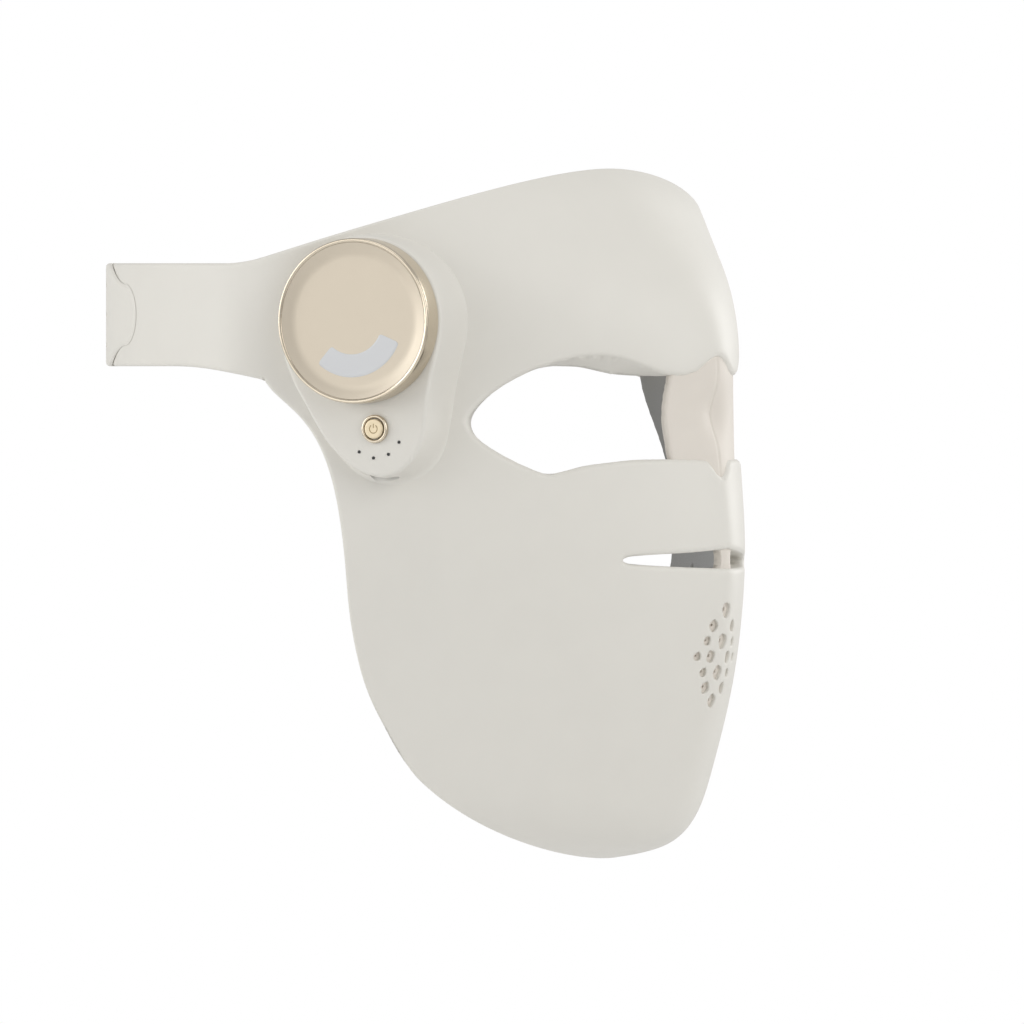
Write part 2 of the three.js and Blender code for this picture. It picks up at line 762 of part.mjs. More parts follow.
function buildButton() {
  const flangeTop = -baseWall - fitGap;
  const cap = podLathe(
    buttonAlong,
    buttonHeight,
    [
      [0, -stemReach],
      [stemRadius, -stemReach],
      [stemRadius, flangeTop - flangeWall],
      [flangeRadius, flangeTop - flangeWall],
      [flangeRadius, flangeTop],
      [capRadius, flangeTop],
      [capRadius, capProud - fitGap],
      [capRadius - fitGap, capProud],
      [0, capProud],
    ],
    roundSides
  );
  addPiece("power_button", cap, gold);

  const bezel = podLathe(
    buttonAlong,
    buttonHeight,
    [
      [capRadius + fitGap, fitGap],
      [bezelRadius, fitGap],
      [bezelRadius, bezelProud - bezelRound],
      [bezelRadius - bezelRound, bezelProud],
      [capRadius + fitGap + bezelRound, bezelProud],
      [capRadius + fitGap, bezelProud - bezelRound],
      [capRadius + fitGap, fitGap],
    ],
    roundSides
  );
  addPiece("button_bezel", bezel, gold);

  const side = switchHalf * 2;
  const switchTo = switchFrom + switchTall;
  const body = podBox(buttonAlong, buttonHeight, side, side, switchFrom, switchTo);
  const plungerTo = switchTo + plungerTall - fitGap;
  const plungerFrom = switchTo - fitGap;
  const plunger = podCylinder(buttonAlong, buttonHeight, plungerRadius, plungerFrom, plungerTo, smallSides);
  addPiece("button_switch", body.add(plunger), blackPlastic);
  const boardTo = switchFrom - fitGap;
  const boardWidth = smallBoardHalfWidth * 2;
  const boardLength = smallBoardHalfLength * 2;
  const board = podBox(buttonAlong, buttonHeight, boardWidth, boardLength, boardTo - smallBoardWall, boardTo);
  addPiece("button_board", board, boardGreen);
}

function buildPipes() {
  pipePlaces().forEach((p, i) => {
    const pipe = podCylinder(p.along, p.height, pipeRadius, -pipeReach, fitGap / 2, smallSides);
    addPiece("indicator_pipe_" + (i + 1), pipe, blackPlastic);
  });
}

function buildSocket() {
  const shellBody = socketBody(0, 0, socketLength, -socketWall);
  const back = socketBody(0, socketLength - socketWall, socketLength, 0);
  const tongue = new THREE.BoxGeometry(tongueWidth, socketLength - tongueSet, tongueTall);
  tongue.translate(socketAlong, socketMouth + (socketLength + tongueSet) / 2, -socketDrop);
  addPiece("charging_socket", shellBody.add(back).add(inPod(tongue)), steel);
}

function buildBattery() {
  const top = -baseWall - fitGap * 2;
  const cell = podBox(batteryAlong, podHeight, batteryWidth, batteryLength, top - batteryThick, top);
  addPiece("battery_cell", cell, battery);
}

// Plate inside the shell that the housing's screws pull against, following the skin
function buildBackPlate() {
  const sheet = layer(plateTop, plateTop + plateWall, patchShares.plate, 10, 9);
  const outline = teardropBody(plateInset, -plateReach, overrun, 0);
  const holes = screwSpots.map((spot) =>
    podCylinder(spot.along, spot.height, screwRadius + fitGap, -plateReach, overrun, smallSides)
  );
  const seats = screwSpots.map((spot) => {
    const level = headLevel(spot);
    const radius = screwHeadRadius + fitGap;
    return podCylinder(spot.along, spot.height, radius, level - seatDepth, level + fitGap, smallSides);
  });
  const lip = frontCut(goggleShape(lipWidth + fitGap));
  addPiece("pod_back_plate", cutAll(sheet.intersect(outline), [...holes, ...seats, lip]), palePlastic);
}

// Where a screw's head meets the plate, counted from the plateau
function headLevel(spot) {
  return skinLevel(spot.along, spot.height) - plateTop - plateWall - screwHeadSink;
}

function buildScrews() {
  screwSpots.forEach((spot, i) => {
    const level = headLevel(spot);
    const tip = Math.min(skinLevel(spot.along, spot.height) + screwBite, -baseWall / 2 - fitGap);
    const headFrom = level - screwHeadTall;
    const shankFrom = level - screwHeadTall / 2;
    const head = podCylinder(spot.along, spot.height, screwHeadRadius, headFrom, level, smallSides);
    const shank = podCylinder(spot.along, spot.height, screwRadius, shankFrom, tip, smallSides);
    addPiece("housing_screw_" + (i + 1), head.add(shank), steel);
  });
}

// Shell, liner and ivory pieces
function buildShell() {
  const body = shellBlank();
  const lips = [frontCut(goggleShape(lipWidth)), frontCut(slitShape(lipWidth))];
  const room = layer(skinWall, rimDepth + overrun, patchShares.pocket, shellRows, shellColumns);
  const pocket = cutAll(room, lips);
  const screwHoles = screwSpots.map((spot) =>
    podCylinder(spot.along, spot.height, screwRadius + fitGap, -plateReach, -baseWall, smallSides)
  );
  const openings = [frontCut(goggleShape(0)), frontCut(slitShape(0)), ...mouthHoles(1)];
  const behind = new THREE.BoxGeometry(frontReach, templeHalfWidth * 3, maskHeight);
  behind.translate(seamPlace - frontReach / 2, 0, maskHeight / 2);
  addPiece("outer_shell", cutAll(body, [pocket, ...openings, ...screwHoles, toSolid(behind)]), silicone);
}

function mouthOval(grow) {
  const shape = new THREE.Shape();
  const rows = holeRowShares.length - 1;
  const middle = holeTopHeight - (rows * holeRowPitch) / 2;
  const halfTall = (rows * holeRowPitch) / 2 + holeTallness / 2 + grow;
  const halfWide = holeColumnPitch * 3 + holeWidth / 2 + grow;
  shape.absellipse(0, middle, halfWide, halfTall, 0, Math.PI * 2, false);
  return new THREE.Shape(shape.getPoints(20).slice(0, -1));
}

function buildLiner() {
  const sheet = layer(linerTop, linerTop + linerWall, patchShares.liner, linerRows, linerColumns);
  const cuts = [
    frontCut(goggleShape(lipWidth + fitGap)),
    frontCut(slitShape(lipWidth + fitGap)),
    frontCut(mouthOval(fitGap)),
  ];
  addPiece("inner_liner", cutAll(sheet, cuts), darkLens);
}

function buildIvory() {
  const flangeFrom = rimDepth + fitGap * 2;
  const flangeMiddle = (flangeFrom + ivoryBack) / 2;
  const bridgeBlock = layer(ivoryTop, flangeMiddle, patchShares.bridge, 7, 6);
  const bridge = bridgeBlock.intersect(frontCut(goggleShape(-fitGap)));
  const bridgeFlange = layer(flangeFrom, ivoryBack, patchShares.bridgeFlange, 5, 4);
  addPiece("nose_bridge", bridge.add(bridgeFlange), ivory);

  const waist = tieHalfWidth * tieWaistShare;
  const tieShape = new THREE.Shape();
  tieShape.moveTo(-tieHalfWidth, slitHeight - slitHalfGap + fitGap);
  tieShape.lineTo(tieHalfWidth, slitHeight - slitHalfGap + fitGap);
  tieShape.quadraticCurveTo(waist, slitHeight, tieHalfWidth, slitHeight + slitHalfGap - fitGap);
  tieShape.lineTo(-tieHalfWidth, slitHeight + slitHalfGap - fitGap);
  tieShape.quadraticCurveTo(-waist, slitHeight, -tieHalfWidth, slitHeight - slitHalfGap + fitGap);
  const tie = layer(ivoryTop, flangeMiddle, patchShares.tie, 4, 6).intersect(frontCut(tieShape));
  const tieFlange = layer(flangeFrom, ivoryBack, patchShares.tieFlange, 3, 6);
  addPiece("slit_tie", tie.add(tieFlange), ivory);

  const sheet = layer(screenTop, screenTop + screenWall, patchShares.screen, 4, 6);
  const screen = sheet.intersect(frontCut(mouthOval(lipWidth / 2)));
  addPiece("mouth_screen", cutAll(screen, mouthHoles(screenHoleShare)), ivory);
}

// A lamp board: a thin sheet under the skin with rows of lamps on its inner face
function lampBoard(name, patch, lampRows, lampColumns) {
  const sheet = layer(boardTop, boardTop + boardWall, patch, lampRows + 2, lampColumns + 2);
  const lampUps = spread(patch[0], patch[1], lampRows * 2).filter((unused, i) => i % 2 === 1);
  const lampAcrosses = spread(patch[2], patch[3], lampColumns * 2).filter((unused, i) => i % 2 === 1);
  const lampFrom = boardTop + boardWall - lampSink;
  const lamps = lampUps.flatMap((up) =>
    lampAcrosses.map((across) => {
      const centre = skinPoint(up, across);
      const upRate = skinPoint(up + stepShare, across).distanceTo(centre) / stepShare;
      const acrossRate = skinPoint(up, across + stepShare).distanceTo(centre) / stepShare;
      const upHalf = lampHalf / upRate;
      const acrossHalf = lampHalf / acrossRate;
      const spot = [up - upHalf, up + upHalf, across - acrossHalf, across + acrossHalf];
      return layer(lampFrom, lampFrom + lampSink + lampHeight, spot, 1, 1);
    })
  );
  addPiece(
    name,
    lamps.reduce((board, lamp) => board.add(lamp), sheet),
    boardGreen
  );
}

function buildBoards() {
  lampBoard("forehead_lamp_board", patchShares.foreheadBoard, 2, 6);
  lampBoard("right_cheek_lamp_board", patchShares.rightCheekBoard, 4, 2);
  lampBoard("left_cheek_lamp_board", patchShares.leftCheekBoard, 4, 2);
  lampBoard("chin_lamp_board", patchShares.chinBoard, 2, 5);
}

// Band round the head. A turn of 180 degrees is the middle of the back, and side is -1 on the wearer's right.
function bandPoint(turn, side, out, level) {
  const cos = Math.cos(turn);
  const sin = Math.sin(turn);
  const normal = new THREE.Vector2(cos / bandHalfLength, sin / bandHalfWidth).normalize();
  const x = bandCentre + bandHalfLength * cos + normal.x * out;
  const y = bandHalfWidth * sin + normal.y * out;
  return new THREE.Vector3(x, y * side, level);
}

const seamTurn = Math.acos((seamPlace - fitGap - bandCentre) / bandHalfLength);

function arcLengthTo(turn) {
  const meanRadius = (bandHalfLength + bandHalfWidth) / 2;
  return Math.max(turn - seamTurn, 0) * meanRadius;
}

function easeShare(value) {
  const v = THREE.MathUtils.clamp(value, 0, 1);
  return 1 - (1 - v) ** 2;
}

// Lower and upper edge of the band and its inner and outer surface, at a turn.
function bandSection(turn, isTongue) {
  const taper = easeShare(arcLengthTo(turn) / bandTaper);
  const low = bandMiddle - THREE.MathUtils.lerp(bandRootDrop, bandHeight / 2, taper);
  const high = bandMiddle + THREE.MathUtils.lerp(bandRootRise, bandHeight / 2, taper);
  const lift = THREE.MathUtils.smoothstep(turn, liftStartTurn, liftEndTurn) * (isTongue ? 1 : 0);
  const wall = THREE.MathUtils.lerp(bandWall, tongueWall, lift);
  const out = lift * (fitGap + tongueWall);
  return { low, high, out, inner: out - wall };
}

// A band from the shell's seam to its end turn, with chamfered edges and, on the tongue, a round tip.
function bandBody(side, endTurn, isTongue, steps) {
  const meanRadius = (bandHalfLength + bandHalfWidth) / 2;
  const turns = spread(seamTurn, endTurn, steps);
  if (isTongue) turns.splice(-1, 1, ...tipTurns(endTurn));
  const section = turns.map((turn) => {
    const s = bandSection(turn, isTongue);
    const left = (endTurn - turn) * meanRadius;
    const half = isTongue ? tipHalfHeight(left) : bandHeight;
    const low = Math.max(s.low, bandMiddle - half);
    const high = Math.min(s.high, bandMiddle + half);
    const cut = (s.out - s.inner) * edgeChamferShare;
    return [
      [low, s.inner + cut],
      [low, s.out - cut],
      [low + cut, s.out],
      [high - cut, s.out],
      [high, s.out - cut],
      [high, s.inner + cut],
      [high - cut, s.inner],
      [low + cut, s.inner],
    ].map(([level, out]) => bandPoint(turn, side, out, level));
  });
  const positions = section.flat().flatMap((p) => [p.x, p.y, p.z]);
  const around = section[0].length;
  const triangles = [];
  for (let i = 0; i < section.length - 1; i++) {
    for (let k = 0; k < around; k++) {
      const a = i * around + k;
      const b = i * around + ((k + 1) % around);
      triangles.push(a, b, b + around, a, b + around, a + around);
    }
  }
  for (let k = 1; k < around - 1; k++) {
    const end = (section.length - 1) * around;
    triangles.push(0, k + 1, k);
    triangles.push(end, end + k, end + k + 1);
  }
  if (side > 0) {
    for (let i = 0; i < triangles.length; i += 3) {
      [triangles[i + 1], triangles[i + 2]] = [triangles[i + 2], triangles[i + 1]];
    }
  }
  const geometry = new THREE.BufferGeometry();
  geometry.setAttribute("position", new THREE.BufferAttribute(new Float32Array(positions), 3));
  geometry.setIndex(triangles);
  return toSolid(geometry);
}

function tipTurns(endTurn) {
  const meanRadius = (bandHalfLength + bandHalfWidth) / 2;
  return [...tipShares.map((share) => endTurn - (share * tongueTipRadius) / meanRadius), endTurn];
}

// Half height of the tongue at a distance from its tip: a round end that widens to the full band.
function tipHalfHeight(left) {
  if (left < tongueTipRadius) {
    const lift = tongueTipRadius - left;
    return Math.max(Math.sqrt(tongueTipRadius ** 2 - lift ** 2), tongueWall);
  }
  const share = THREE.MathUtils.smoothstep(left, tongueTipRadius, tongueTipRadius + tongueTipLength);
  return THREE.MathUtils.lerp(tongueTipRadius, bandHeight / 2, share);
}

// A patch of the band between two turns, two surfaces and two levels.
function bandPatch(side, turnFrom, turnTo, inner, outer, low, high) {
  const turns = spread(turnFrom, turnTo, 6);
  const grid = (out) => [low, high].map((level) => turns.map((turn) => bandPoint(turn, side, out, level)));
  return side > 0 ? slabBetween(grid(inner), grid(outer)) : slabBetween(grid(outer), grid(inner));
}

function slotCuts() {
  return slotColumnTurns.flatMap((turn) =>
    [-1, 0, 1].map((row) => {
      const half = slotLength / (bandHalfLength + bandHalfWidth);
      const level = bandMiddle + row * slotRowPitch;
      const outer = fitGap + tongueWall + overrun;
      const low = level - slotTall / 2;
      const high = level + slotTall / 2;
      return orient(bandPatch(1, turn - half, turn + half, -bandWall, outer, low, high));
    })
  );
}

function orient(solid) {
  if (solid.volume() > 0) return solid;
  return toSolid(flipped(toGeometry(solid)));
}

function buildBand() {
  const pocketOut = padWall + fitGap;
  const low = bandMiddle - padHalfHeight;
  const high = bandMiddle + padHalfHeight;
  const edge = fitGap / bandHalfWidth;
  const right = bandBody(-1, rightEndTurn, false, 30);
  const hookPocket = orient(
    bandPatch(
      -1,
      padFromTurn - edge,
      padToTurn + edge,
      -pocketOut,
      overrun,
      low - fitGap,
      high + fitGap
    )
  );
  addPiece("right_strap", orient(right).subtract(hookPocket), silicone);
  const hook = bandPatch(-1, padFromTurn, padToTurn, -padWall, 0, low, high);
  addPiece("hook_pad", orient(hook), fabric);
  const left = orient(bandBody(1, tongueEndTurn, true, 36));
  const loopPocket = orient(
    bandPatch(
      1,
      padFromTurn - edge,
      padToTurn + edge,
      -overrun,
      pocketOut + fitGap,
      low - fitGap,
      high + fitGap
    )
  );
  addPiece("left_strap", cutAll(left, [...slotCuts(), loopPocket]), silicone);
  const loopOut = fitGap + padWall;
  addPiece("loop_pad", orient(bandPatch(1, padFromTurn, padToTurn, fitGap, loopOut, low, high)), fabric);
}

buildShell();
buildLiner();
buildIvory();
buildBoards();
addPiece("pod_base", buildHousing(), silicone);
buildPod();
buildButton();
buildPipes();
buildSocket();
buildBattery();
buildBackPlate();
buildScrews();
buildBand();

export default mask;
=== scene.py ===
"""Looks of a light therapy face mask: silicone shell, wrap-round band, gold control pod and smoked inner lens."""

import logging
import math
from dataclasses import dataclass, field
from enum import Enum
from typing import Callable, Optional, Sequence

import bmesh
import bpy
import numpy as np
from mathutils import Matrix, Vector
from mathutils.geometry import delaunay_2d_cdt


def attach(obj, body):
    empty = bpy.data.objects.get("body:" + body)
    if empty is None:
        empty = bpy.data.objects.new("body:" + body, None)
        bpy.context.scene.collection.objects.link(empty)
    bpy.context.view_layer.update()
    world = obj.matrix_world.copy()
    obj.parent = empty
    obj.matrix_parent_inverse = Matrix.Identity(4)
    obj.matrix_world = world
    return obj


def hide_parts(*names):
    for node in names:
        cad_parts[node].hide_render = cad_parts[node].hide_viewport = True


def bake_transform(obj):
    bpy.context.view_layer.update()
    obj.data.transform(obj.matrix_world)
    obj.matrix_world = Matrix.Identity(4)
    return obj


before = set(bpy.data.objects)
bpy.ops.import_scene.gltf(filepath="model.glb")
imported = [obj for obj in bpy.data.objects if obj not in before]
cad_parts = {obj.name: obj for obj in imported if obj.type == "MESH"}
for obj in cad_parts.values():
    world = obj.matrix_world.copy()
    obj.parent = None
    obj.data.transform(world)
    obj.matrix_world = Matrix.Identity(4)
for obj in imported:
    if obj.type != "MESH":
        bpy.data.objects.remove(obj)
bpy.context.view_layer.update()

LOG = logging.getLogger("face_mask")
MM = 0.001
Surface = Callable[[np.ndarray], tuple[np.ndarray, np.ndarray]]
Pairs = tuple[tuple[float, float], ...]


# ---- Curves and small helpers


def closed_curve(points: Sequence[Sequence[float]], spacing: float) -> np.ndarray:
    """Smooth closed curve through points, evenly spaced.

    A centripetal Catmull-Rom curve: between two points the place is a cubic of the knot value, whose knots are the
    square roots of the chord lengths. The dense curve is then walked in equal steps.

    Args:
        points: the corners, in order.
        spacing: the wanted step.

    Returns:
        Points on the curve, n by 2.
    """
    p = np.asarray(points, float)
    n = len(p)
    f = np.linspace(0, 1, 24, endpoint=False)[:, None]
    dense = []
    for i in range(n):
        a, b, c, d = p[i - 1], p[i], p[(i + 1) % n], p[(i + 2) % n]
        k1, k2, k3 = (max(np.linalg.norm(v) ** 0.5, 1e-6) for v in (b - a, c - b, d - c))
        m1 = k2 * ((b - a) / k1 - (c - a) / (k1 + k2) + (c - b) / k2)
        m2 = k2 * ((c - b) / k2 - (d - b) / (k2 + k3) + (d - c) / k3)
        dense.append(hermite(f, b, m1, c, m2))
    return even_steps(np.vstack(dense), spacing, closed=True)


def even_steps(line: np.ndarray, spacing: float, closed: bool) -> np.ndarray:
    """Walks a polyline in equal steps.

    Args:
        line: points of the polyline, n by k.
        spacing: the wanted step.
        closed: whether the last point joins the first.

    Returns:
        The new points; a closed line's last point isn't repeated.
    """
    path = np.vstack([line, line[:1]]) if closed else line
    run = np.concatenate([[0], np.cumsum(np.linalg.norm(np.diff(path, axis=0), axis=1))])
    count = max(int(round(run[-1] / spacing)), 3)
    at = np.linspace(0, run[-1], count + 1)
    out = np.stack([np.interp(at, run, path[:, k]) for k in range(path.shape[1])], axis=1)
    return out[:-1] if closed else out


def hermite(f: np.ndarray, start: np.ndarray, leave: np.ndarray, end: np.ndarray, arrive: np.ndarray) -> np.ndarray:
    """A cubic from start to end with the slopes leave and arrive, at the shares f of the way."""
    return (
        (2 * f**3 - 3 * f**2 + 1) * start
        + (f**3 - 2 * f**2 + f) * leave
        + (3 * f**2 - 2 * f**3) * end
        + (f**3 - f**2) * arrive
    )


def smoothstep(value: np.ndarray | float, low: float, high: float) -> np.ndarray:
    """Rises from 0 at low to 1 at high as 3t^2 - 2t^3."""
    t = np.clip((np.asarray(value, float) - low) / (high - low), 0, 1)
    return t * t * (3 - 2 * t)


def eased(values: np.ndarray, rounds: int) -> np.ndarray:
    """A closed run of values, each averaged with its neighbours at the weights 1, 2, 1, several times over."""
    for _ in range(rounds):
        values = (np.roll(values, 1, axis=0) + 2 * values + np.roll(values, -1, axis=0)) / 4
    return values


def unit(rows: np.ndarray) -> np.ndarray:
    """Rows brought to length 1."""
    return rows / np.linalg.norm(rows, axis=1, keepdims=True)


def beside(line: np.ndarray, closed: bool = True) -> np.ndarray:
    """Unit vectors a quarter turn clockwise from the run of a flat line."""
    along = np.roll(line, -1, axis=0) - np.roll(line, 1, axis=0) if closed else np.gradient(line, axis=0)
    side = np.stack([along[:, 1], -along[:, 0]], axis=1)
    return side / np.maximum(np.linalg.norm(side, axis=1, keepdims=True), 1e-9)


def round_depth(gap: np.ndarray, radius: float) -> np.ndarray:
    """Depth of a quarter round at distances from its edge: r - sqrt(r^2 - (r - d)^2), and 0 past the radius."""
    return np.where(gap < radius, radius - np.sqrt(np.maximum(radius * radius - (radius - gap) ** 2, 0)), 0)


def inside(points: np.ndarray, loop: np.ndarray) -> np.ndarray:
    """Even-odd test of points against a closed loop.

    Args:
        points: n by 2.
        loop: m by 2.

    Returns:
        True where a point lies inside.
    """
    x, y = points[:, :1], points[:, 1:]
    a, b = loop, np.roll(loop, -1, axis=0)
    crosses = (a[:, 1] > y) != (b[:, 1] > y)
    rise = np.where(b[:, 1] == a[:, 1], 1e-12, b[:, 1] - a[:, 1])
    at = a[:, 0] + (y - a[:, 1]) * (b[:, 0] - a[:, 0]) / rise
    return (crosses & (x < at)).sum(axis=1) % 2 == 1


def nearest(points: np.ndarray, targets: np.ndarray) -> np.ndarray:
    """Distance from each point to the closest target.

    Args:
        points: n by 3.
        targets: m by 3.

    Returns:
        n distances; infinite where there are no targets.
    """
    if len(targets) == 0:
        return np.full(len(points), np.inf)
    out = [
        np.sqrt(((part[:, None, :] - targets[None]) ** 2).sum(axis=2).min(axis=1))
        for part in np.array_split(points, max(len(points) // 400, 1))
    ]
    return np.concatenate(out)


def make_object(
    name: str,
    points: np.ndarray,
    faces: Sequence[Sequence[int]],
    material: bpy.types.Material,
    sharp: Optional[Sequence[tuple[int, int]]] = None,
) -> bpy.types.Object:
    """Puts points in millimetres and faces into a smooth-shaded mesh object.

    Args:
        name: the piece's name.
        points: n by 3, in millimetres of the shared frame.
        faces: vertex indices of each face, seen anticlockwise from outside.
        material: the finish.
        sharp: vertex pairs whose edges stay sharp.

    Returns:
        The object, at the origin.
    """
    mesh = bpy.data.meshes.new(name)
    mesh.from_pydata((np.asarray(points) * MM).tolist(), [], [list(map(int, f)) for f in faces])
    mesh.validate()
    mesh.shade_smooth()
    if sharp:
        wanted = {tuple(sorted(pair)) for pair in sharp}
        flags = np.array([tuple(sorted(e.vertices)) in wanted for e in mesh.edges], bool)
        mesh.attributes.new("sharp_edge", "BOOLEAN", "EDGE").data.foreach_set("value", flags)
    obj = bpy.data.objects.new(name, mesh)
    bpy.context.collection.objects.link(obj)
    mesh.materials.append(material)
    return obj


def grid_faces(rows: int, columns: int, wrap_rows: bool = False, wrap_columns: bool = False) -> list[list[int]]:
    """Quads of a grid whose vertex (i, j) has the index i * columns + j.

    Args:
        rows: number of rows.
        columns: number of columns.
        wrap_rows: whether the last row joins the first.
        wrap_columns: whether the last column joins the first.

    Returns:
        The quads.
    """
    i, j = np.meshgrid(
        np.arange(rows if wrap_rows else rows - 1), np.arange(columns if wrap_columns else columns - 1), indexing="ij"
    )
    i, j = i.ravel(), j.ravel()
    ni, nj = (i + 1) % rows, (j + 1) % columns
    return np.stack([i * columns + j, i * columns + nj, ni * columns + nj, ni * columns + j], axis=1).tolist()


def capped_tube(rows: int, columns: int) -> list[list[int]]:
    """Faces of a tube whose two ends are closed by one point each; these points come after the grid's.

    Args:
        rows: rings from one end to the other.
        columns: points of each ring.

    Returns:
        The faces.
    """
    ring = np.arange(columns)
    after, last, tip = np.roll(ring, -1), (rows - 1) * columns, rows * columns
    first = np.stack([np.full(columns, tip), after, ring], axis=1)
    end = np.stack([np.full(columns, tip + 1), ring + last, after + last], axis=1)
    return grid_faces(rows, columns, wrap_columns=True) + first.tolist() + end.tolist()


def faces_out(obj: bpy.types.Object) -> bpy.types.Object:
    """Turns a closed mesh so that its faces point outwards, by the sign of its volume."""
    work = bmesh.new()
    work.from_mesh(obj.data)
    if work.calc_volume(signed=True) < 0:
        bmesh.ops.reverse_faces(work, faces=work.faces)
        work.to_mesh(obj.data)
    work.free()
    return obj


def seat(pieces: Sequence[tuple[bpy.types.Object, str, str, Sequence[str]]]) -> None:
    """Rides each piece on its body and hides the nodes that it stands for.

    Args:
        pieces: object, body, slot and node names.
    """
    for obj, body, slot, nodes in pieces:
        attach(obj, body)
        if nodes:
            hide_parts(*nodes)
        LOG.info("%s: %d faces", obj.name, len(obj.data.polygons))


# ---- The shell's skin


@dataclass(frozen=True)
class Skin:
    """The outer skin as a lofted surface, in millimetres, from a table of sections between chin and top edge.

    A row holds shares of reach, height and half width: the keel's place forwards and up, the edge's place forwards,
    sideways and up, the lengths of the two handles, the edge handle's turn and how early the height climbs.
    """

    height: float = 204.0
    reach: float = 100.0
    half_width: float = 90.4
    window: float = 0.55
    shares: tuple[tuple[float, ...], ...] = (
        (0.48, -0.6373, 0.19, 0.6416, -0.4873, 0.243, 0.166, 0.59, 0.28),
        (0.67, -0.6235, 0.17, 0.6803, -0.451, 0.254, 0.221, 0.56, 0.26),
        (0.78, -0.5784, 0.152, 0.7301, -0.4118, 0.28, 0.288, 0.51, 0.25),
        (0.85, -0.4951, 0.142, 0.7799, -0.3603, 0.26, 0.354, 0.44, 0.22),
        (0.943, -0.3578, 0.142, 0.8296, -0.2892, 0.225, 0.42, 0.37, 0.15),
        (0.986, -0.2034, 0.157, 0.8728, -0.2034, 0.155, 0.454, 0.29, 0.1),
        (0.953, -0.0833, 0.125, 0.896, -0.0833, 0.168, 0.465, 0.27, 0.1),
        (0.946, 0.0098, 0.03, 0.9204, 0.0025, 0.19, 0.465, 0.24, 0.15),
        (0.946, 0.0882, -0.08, 0.99, 0.0539, 0.215, 0.509, 0.2, 0.25),
        (0.89, 0.1706, -0.08, 0.9978, 0.1127, 0.25, 0.52, 0.17, 0.35),
        (0.79, 0.2304, -0.08, 1, 0.1618, 0.305, 0.498, 0.13, 0.45),
        (0.69, 0.2843, -0.08, 1, 0.1961, 0.321, 0.487, 0.11, 0.54),
        (0.605, 0.3324, -0.08, 1, 0.2157, 0.343, 0.465, 0.09, 0.6),
        (0.515, 0.3632, -0.08, 1, 0.2314, 0.376, 0.465, 0.07, 0.62),
    )

    def sections(self, place: np.ndarray) -> np.ndarray:
        """Section values at places along the table.

        Between two rows each value is a cubic whose end slopes are the harmonic mean of the slopes beside it, or zero
        where those differ in sign.

        Args:
            place: row places, n.

        Returns:
            n by 9 values.
        """
        table = np.asarray(self.shares)
        last = len(table) - 1
        step = np.diff(table, axis=0)
        slope = np.zeros_like(table)
        product = step[:-1] * step[1:]
        total = step[:-1] + step[1:]
        safe = np.where(product > 0, total, 1)
        slope[1:-1] = np.where(product > 0, 2 * product / safe, 0)
        slope[0], slope[-1] = step[0], step[-1]
        row = np.clip(np.floor(place).astype(int), 0, last - 1)
        f = (place - row)[:, None]
        return hermite(f, table[row], slope[row], table[row + 1], slope[row + 1])

    def point(self, up: np.ndarray, across: np.ndarray) -> np.ndarray:
        """Points of the skin.

        A section is a cubic curve from the keel to the edge, with one handle square to the keel and one turned at
        the edge. Its values are averaged over a short window of rows, so that rows leave no bands.

        Args:
            up: 0 at the chin edge to 1 at the top edge.
            across: -1 at the right edge to 1 at the left edge.

        Returns:
            n by 3, in millimetres.
        """
        last = len(self.shares) - 1
        place = np.clip(up, 0, 1) * last
        reach = np.minimum(self.window, np.minimum(place, last - place))
        weights = ((-1, 0.12), (-0.5, 0.24), (0, 0.28), (0.5, 0.24), (1, 0.12))
        row = sum(w * self.sections(place + k * reach) for k, w in weights)
        keel_x, keel_z = row[:, 0] * self.reach, row[:, 1] * self.height
        edge_x, edge_y, edge_z = row[:, 2] * self.reach, row[:, 3] * self.half_width, row[:, 4] * self.height
        inner, outer = row[:, 5] * self.half_width, row[:, 6] * self.half_width
        turn = row[:, 7] * math.pi / 2
        t = np.abs(across)
        b0, b1, b2, b3 = (1 - t) ** 3, 3 * t * (1 - t) ** 2, 3 * t * t * (1 - t), t**3
        x = (b0 + b1) * keel_x + b2 * (edge_x + outer * np.cos(turn)) + b3 * edge_x
        y = (b1 * inner + b2 * (edge_y - outer * np.sin(turn)) + b3 * edge_y) * np.sign(across)
        z = keel_z + (edge_z - keel_z) * (b2 * row[:, 8] + b3)
        return np.stack([x, y, z], axis=1)

    def normal(self, up: np.ndarray, across: np.ndarray) -> np.ndarray:
        """Outward unit normals, from the cross product of the two directions of the surface."""
        h = 2e-3
        rise = self.point(np.minimum(up + h, 1), across) - self.point(np.maximum(up - h, 0), across)
        run = self.point(up, np.minimum(across + h, 1)) - self.point(up, np.maximum(across - h, -1))
        return unit(np.cross(run, rise))

